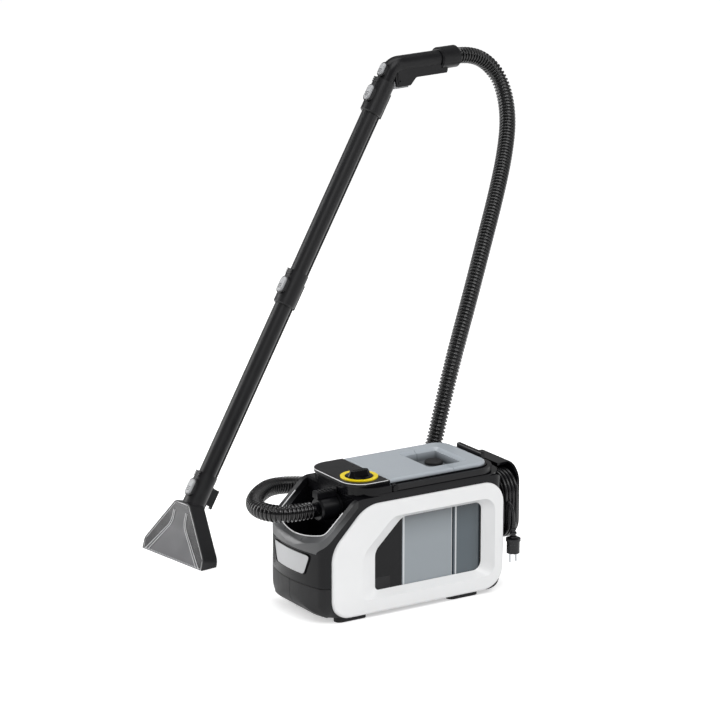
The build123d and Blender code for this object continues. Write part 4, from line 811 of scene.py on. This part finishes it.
def add_ridge(mesh, place, length_dir, width_dir, length, width, height):
    """One raised ridge with sloped sides, its foot a little inside what carries it."""
    out = length_dir.cross(width_dir).normalized()
    sections = ((1.0, -RIDGE_SINK), (1.0, height * RIDGE_SHOULDER), (RIDGE_CROWN, height))
    rings = []
    for shrink, lift in sections:
        ring = []
        for sign_l, sign_w in ((-1, -1), (1, -1), (1, 1), (-1, 1)):
            half_length = length / 2 - (1 - shrink) * width / 2
            step = length_dir * (sign_l * half_length) + width_dir * (sign_w * width / 2 * shrink)
            ring.append(mesh.verts.new(place + step + out * lift))
        rings.append(ring)
    close_rings(mesh, rings)


def make_button_ridges():
    """Three finger ridges on each push button of the wand, dark grey as painted shade of finger
    grooves.
    """
    origin = tube_at(0, 0, 0)
    up = (tube_at(0, 0, MM) - origin).normalized()
    across = (tube_at(0, MM, 0) - origin).normalized()
    for body, middle, outside in BUTTONS:
        mesh = bmesh.new()
        for step in BUTTON_RIDGES:
            place = tube_at(-outside, 0, middle + step)
            add_ridge(mesh, place, across, up, *BUTTON_RIDGE_SIZE)
        ridges = link_mesh(body + "_ridges", mesh)
        dress(ridges, "groove")
        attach(ridges, body)


def make_knob_ridges():
    """Two rows of grip studs on the knob's bar."""
    mesh = bmesh.new()
    for row in STUD_ROWS:
        for step in STUD_STEPS:
            place = at(KNOB[0] + STUD_PITCH * step, KNOB[1] + row, KNOB[2])
            add_ridge(mesh, place, Vector((1, 0, 0)), Vector((0, 1, 0)), *STUD_SIZE)
    studs = link_mesh("knob_studs", mesh)
    dress(studs, "gloss")
    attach(studs, "knob")


def make_lip_ribs():
    """Row of small pale ribs along the nozzle's lip."""
    mesh = bmesh.new()
    lip = face_at(0, 0, 0)
    across = (face_at(MM, 0, 0) - lip).normalized()
    up = (face_at(0, MM, 0) - lip).normalized()
    for rib in range(LIP_RIBS):
        x = (rib - (LIP_RIBS - 1) / 2) * LIP_RIB_PITCH
        add_ridge(mesh, face_at(x, LIP_RIB_PLACE, 0), across, up, *LIP_RIB_SIZE)
    ribs = link_mesh("lip_ribs", mesh)
    dress(ribs, "grey")
    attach(ribs, "wand")


def ease(value, low, high):
    """Rises smoothly from 0 at low to 1 at high."""
    share = min(max((value - low) / (high - low), 0.0), 1.0)
    return share * share * (3 - 2 * share)


def tuck(place):
    """Draws a point of the base in under the front corners, the further the lower it lies."""
    x, y, z = (place - MACHINE) * MM
    below = 1 - (z - BODY_BOTTOM) / TUCK_HEIGHT
    if below <= 0:
        return place
    core_y = min(max(y, CORNER_R - BODY_HALF), BODY_HALF - CORNER_R)
    core_x = BOW_CENTRE - math.sqrt((BODY_BOW_R - CORNER_R) ** 2 - core_y ** 2)
    out = Vector((min(x - core_x, 0.0), y - core_y, 0.0))
    if out.length < CORE_MARGIN:
        return place
    depth = TUCK_DEPTH * (1 - math.sqrt(max(0.0, 1 - below ** 2)))
    share = min(1.0, out.length / CORNER_R) * ease(abs(y), *TUCK_SIDE) * ease(-x, *TUCK_FRONT)
    return place - out.normalized() * depth * share / MM


def make_base():
    """Base pan whose bottom edge runs round the front corners in a soft curve."""
    mesh = bmesh.new()
    mesh.from_mesh(NODES["base_pan"].data)
    bmesh.ops.remove_doubles(mesh, verts=mesh.verts, dist=SAME_POINT)
    levels = [BODY_BOTTOM + TUCK_HEIGHT * step / TUCK_CUTS for step in range(1, TUCK_CUTS + 1)]
    cuts = [(at(0, 0, z), (0, 0, 1)) for z in levels]
    cuts += [(at(0, y, 0), (0, 1, 0)) for y in TUCK_CUTS_Y]
    cuts += [(at(x, 0, 0), (1, 0, 0)) for x in TUCK_CUTS_X]
    for place, normal in cuts:
        everything = mesh.verts[:] + mesh.edges[:] + mesh.faces[:]
        bmesh.ops.bisect_plane(
            mesh, geom=everything, dist=CUT_SNAP, plane_co=place, plane_no=normal,
        )
    for edge in mesh.edges:
        edge.smooth = len(edge.link_faces) == 2 and edge.calc_face_angle() < SHARP_EDGE
    for face in mesh.faces:
        face.smooth = True
    for vertex in mesh.verts:
        vertex.co = tuck(vertex.co)
    base = link_mesh("base_pan_shell", mesh)
    dress(base, "pan")
    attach(base, "machine")
    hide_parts("base_pan")


def make_edge_highlights():
    """Thin pale beads as painted highlights along the inner edge of the hose well's rim and the
    control plate's front.
    """
    for name, half, radius in EDGE_HIGHLIGHTS:
        far_half = [(x, -y, z) for x, y, z in reversed(half)]
        bead = nurbs_curve(name, [at(*point) for point in half + far_half], radius)
        bead.data.materials.append(MATERIALS["edge"])
        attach(bead, "machine")


def make_badge_frame():
    """Dark bead round the bare badge plate, on the bowed front."""
    half = [(BOW_CENTRE - math.sqrt(BADGE_BOW_R ** 2 - y ** 2), y, z) for y, z in BADGE_OUTLINE]
    other = [(x, -y, z) for x, y, z in reversed(half[1:-1])]
    points = [at(*point) for point in half + other]
    frame_bead = nurbs_curve("badge_frame", points, BADGE_BEAD_R)
    frame_bead.data.splines[0].use_endpoint_u = False
    frame_bead.data.splines[0].use_cyclic_u = True
    frame_bead.data.materials.append(MATERIALS["gloss"])
    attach(frame_bead, "machine")


# Stage, light and camera


def make_floor():
    """Plain pale floor that keeps the shadow, lifted to white for what looks straight at it."""
    mesh = bmesh.new()
    bmesh.ops.create_grid(mesh, x_segments=1, y_segments=1, size=FLOOR_HALF)
    floor = link_mesh("floor", mesh)
    material, tree, shader = new_material("pale_floor")
    shader.inputs["Base Color"].default_value = FLOOR_COLOUR
    shader.inputs["Roughness"].default_value = FLOOR_ROUGHNESS
    shader.inputs["Specular IOR Level"].default_value = FLOOR_SHINE
    shader.inputs["Emission Color"].default_value = WHITE
    rays = tree.nodes.new("ShaderNodeLightPath")
    seen = combine(tree, "MAXIMUM", rays.outputs["Is Camera Ray"], rays.outputs["Is Glossy Ray"])
    seen = combine(tree, "MAXIMUM", seen, rays.outputs["Is Transmission Ray"])
    lift = combine(tree, "MULTIPLY", seen, FLOOR_LIFT)
    tree.links.new(lift, shader.inputs["Emission Strength"])
    floor.data.materials.append(material)


def add_light(data, place, aim):
    """Puts a light in the scene, turned from its place towards its aim."""
    light = bpy.data.objects.new(data.name, data)
    light.location = place
    light.rotation_euler = (Vector(aim) - Vector(place)).to_track_quat("-Z", "Y").to_euler()
    bpy.context.scene.collection.objects.link(light)


def make_light():
    """White world, one wide sun and four soft boxes."""
    world = bpy.data.worlds.new("studio")
    bpy.context.scene.world = world
    world.use_nodes = True
    sky = world.node_tree.nodes["Background"]
    sky.inputs["Color"].default_value = WHITE
    sky.inputs["Strength"].default_value = WORLD_STRENGTH
    sun = bpy.data.lights.new("sun", "SUN")
    sun.energy = SUN_STRENGTH
    sun.angle = math.radians(SUN_ANGLE)
    add_light(sun, SUN_PLACE, (0, 0, 0))
    for name, (power, place, aim, width, height) in LIGHT_BOXES.items():
        box = bpy.data.lights.new(name, "AREA")
        box.energy = power
        box.shape = "RECTANGLE"
        box.size = width
        box.size_y = height
        add_light(box, place, aim)


def make_camera():
    azimuth, elevation = math.radians(CAMERA_AZIMUTH), math.radians(CAMERA_ELEVATION)
    level = math.cos(elevation)
    back = Vector((-math.sin(azimuth) * level, -math.cos(azimuth) * level, math.sin(elevation)))
    data = bpy.data.cameras.new("camera")
    data.sensor_width = CAMERA_SENSOR
    data.lens = CAMERA_LENS
    camera = bpy.data.objects.new("camera", data)
    camera.location = MACHINE + CAMERA_AIM + back * CAMERA_DISTANCE
    camera.rotation_euler = (-back).to_track_quat("-Z", "Y").to_euler()
    bpy.context.scene.collection.objects.link(camera)
    bpy.context.scene.camera = camera


dress_nodes()
make_hose()
make_cord()
make_button_ridges()
make_knob_ridges()
make_lip_ribs()
make_base()
make_edge_highlights()
make_badge_frame()
make_floor()
make_light()
make_camera()
bpy.context.scene.view_settings.view_transform = "Standard"
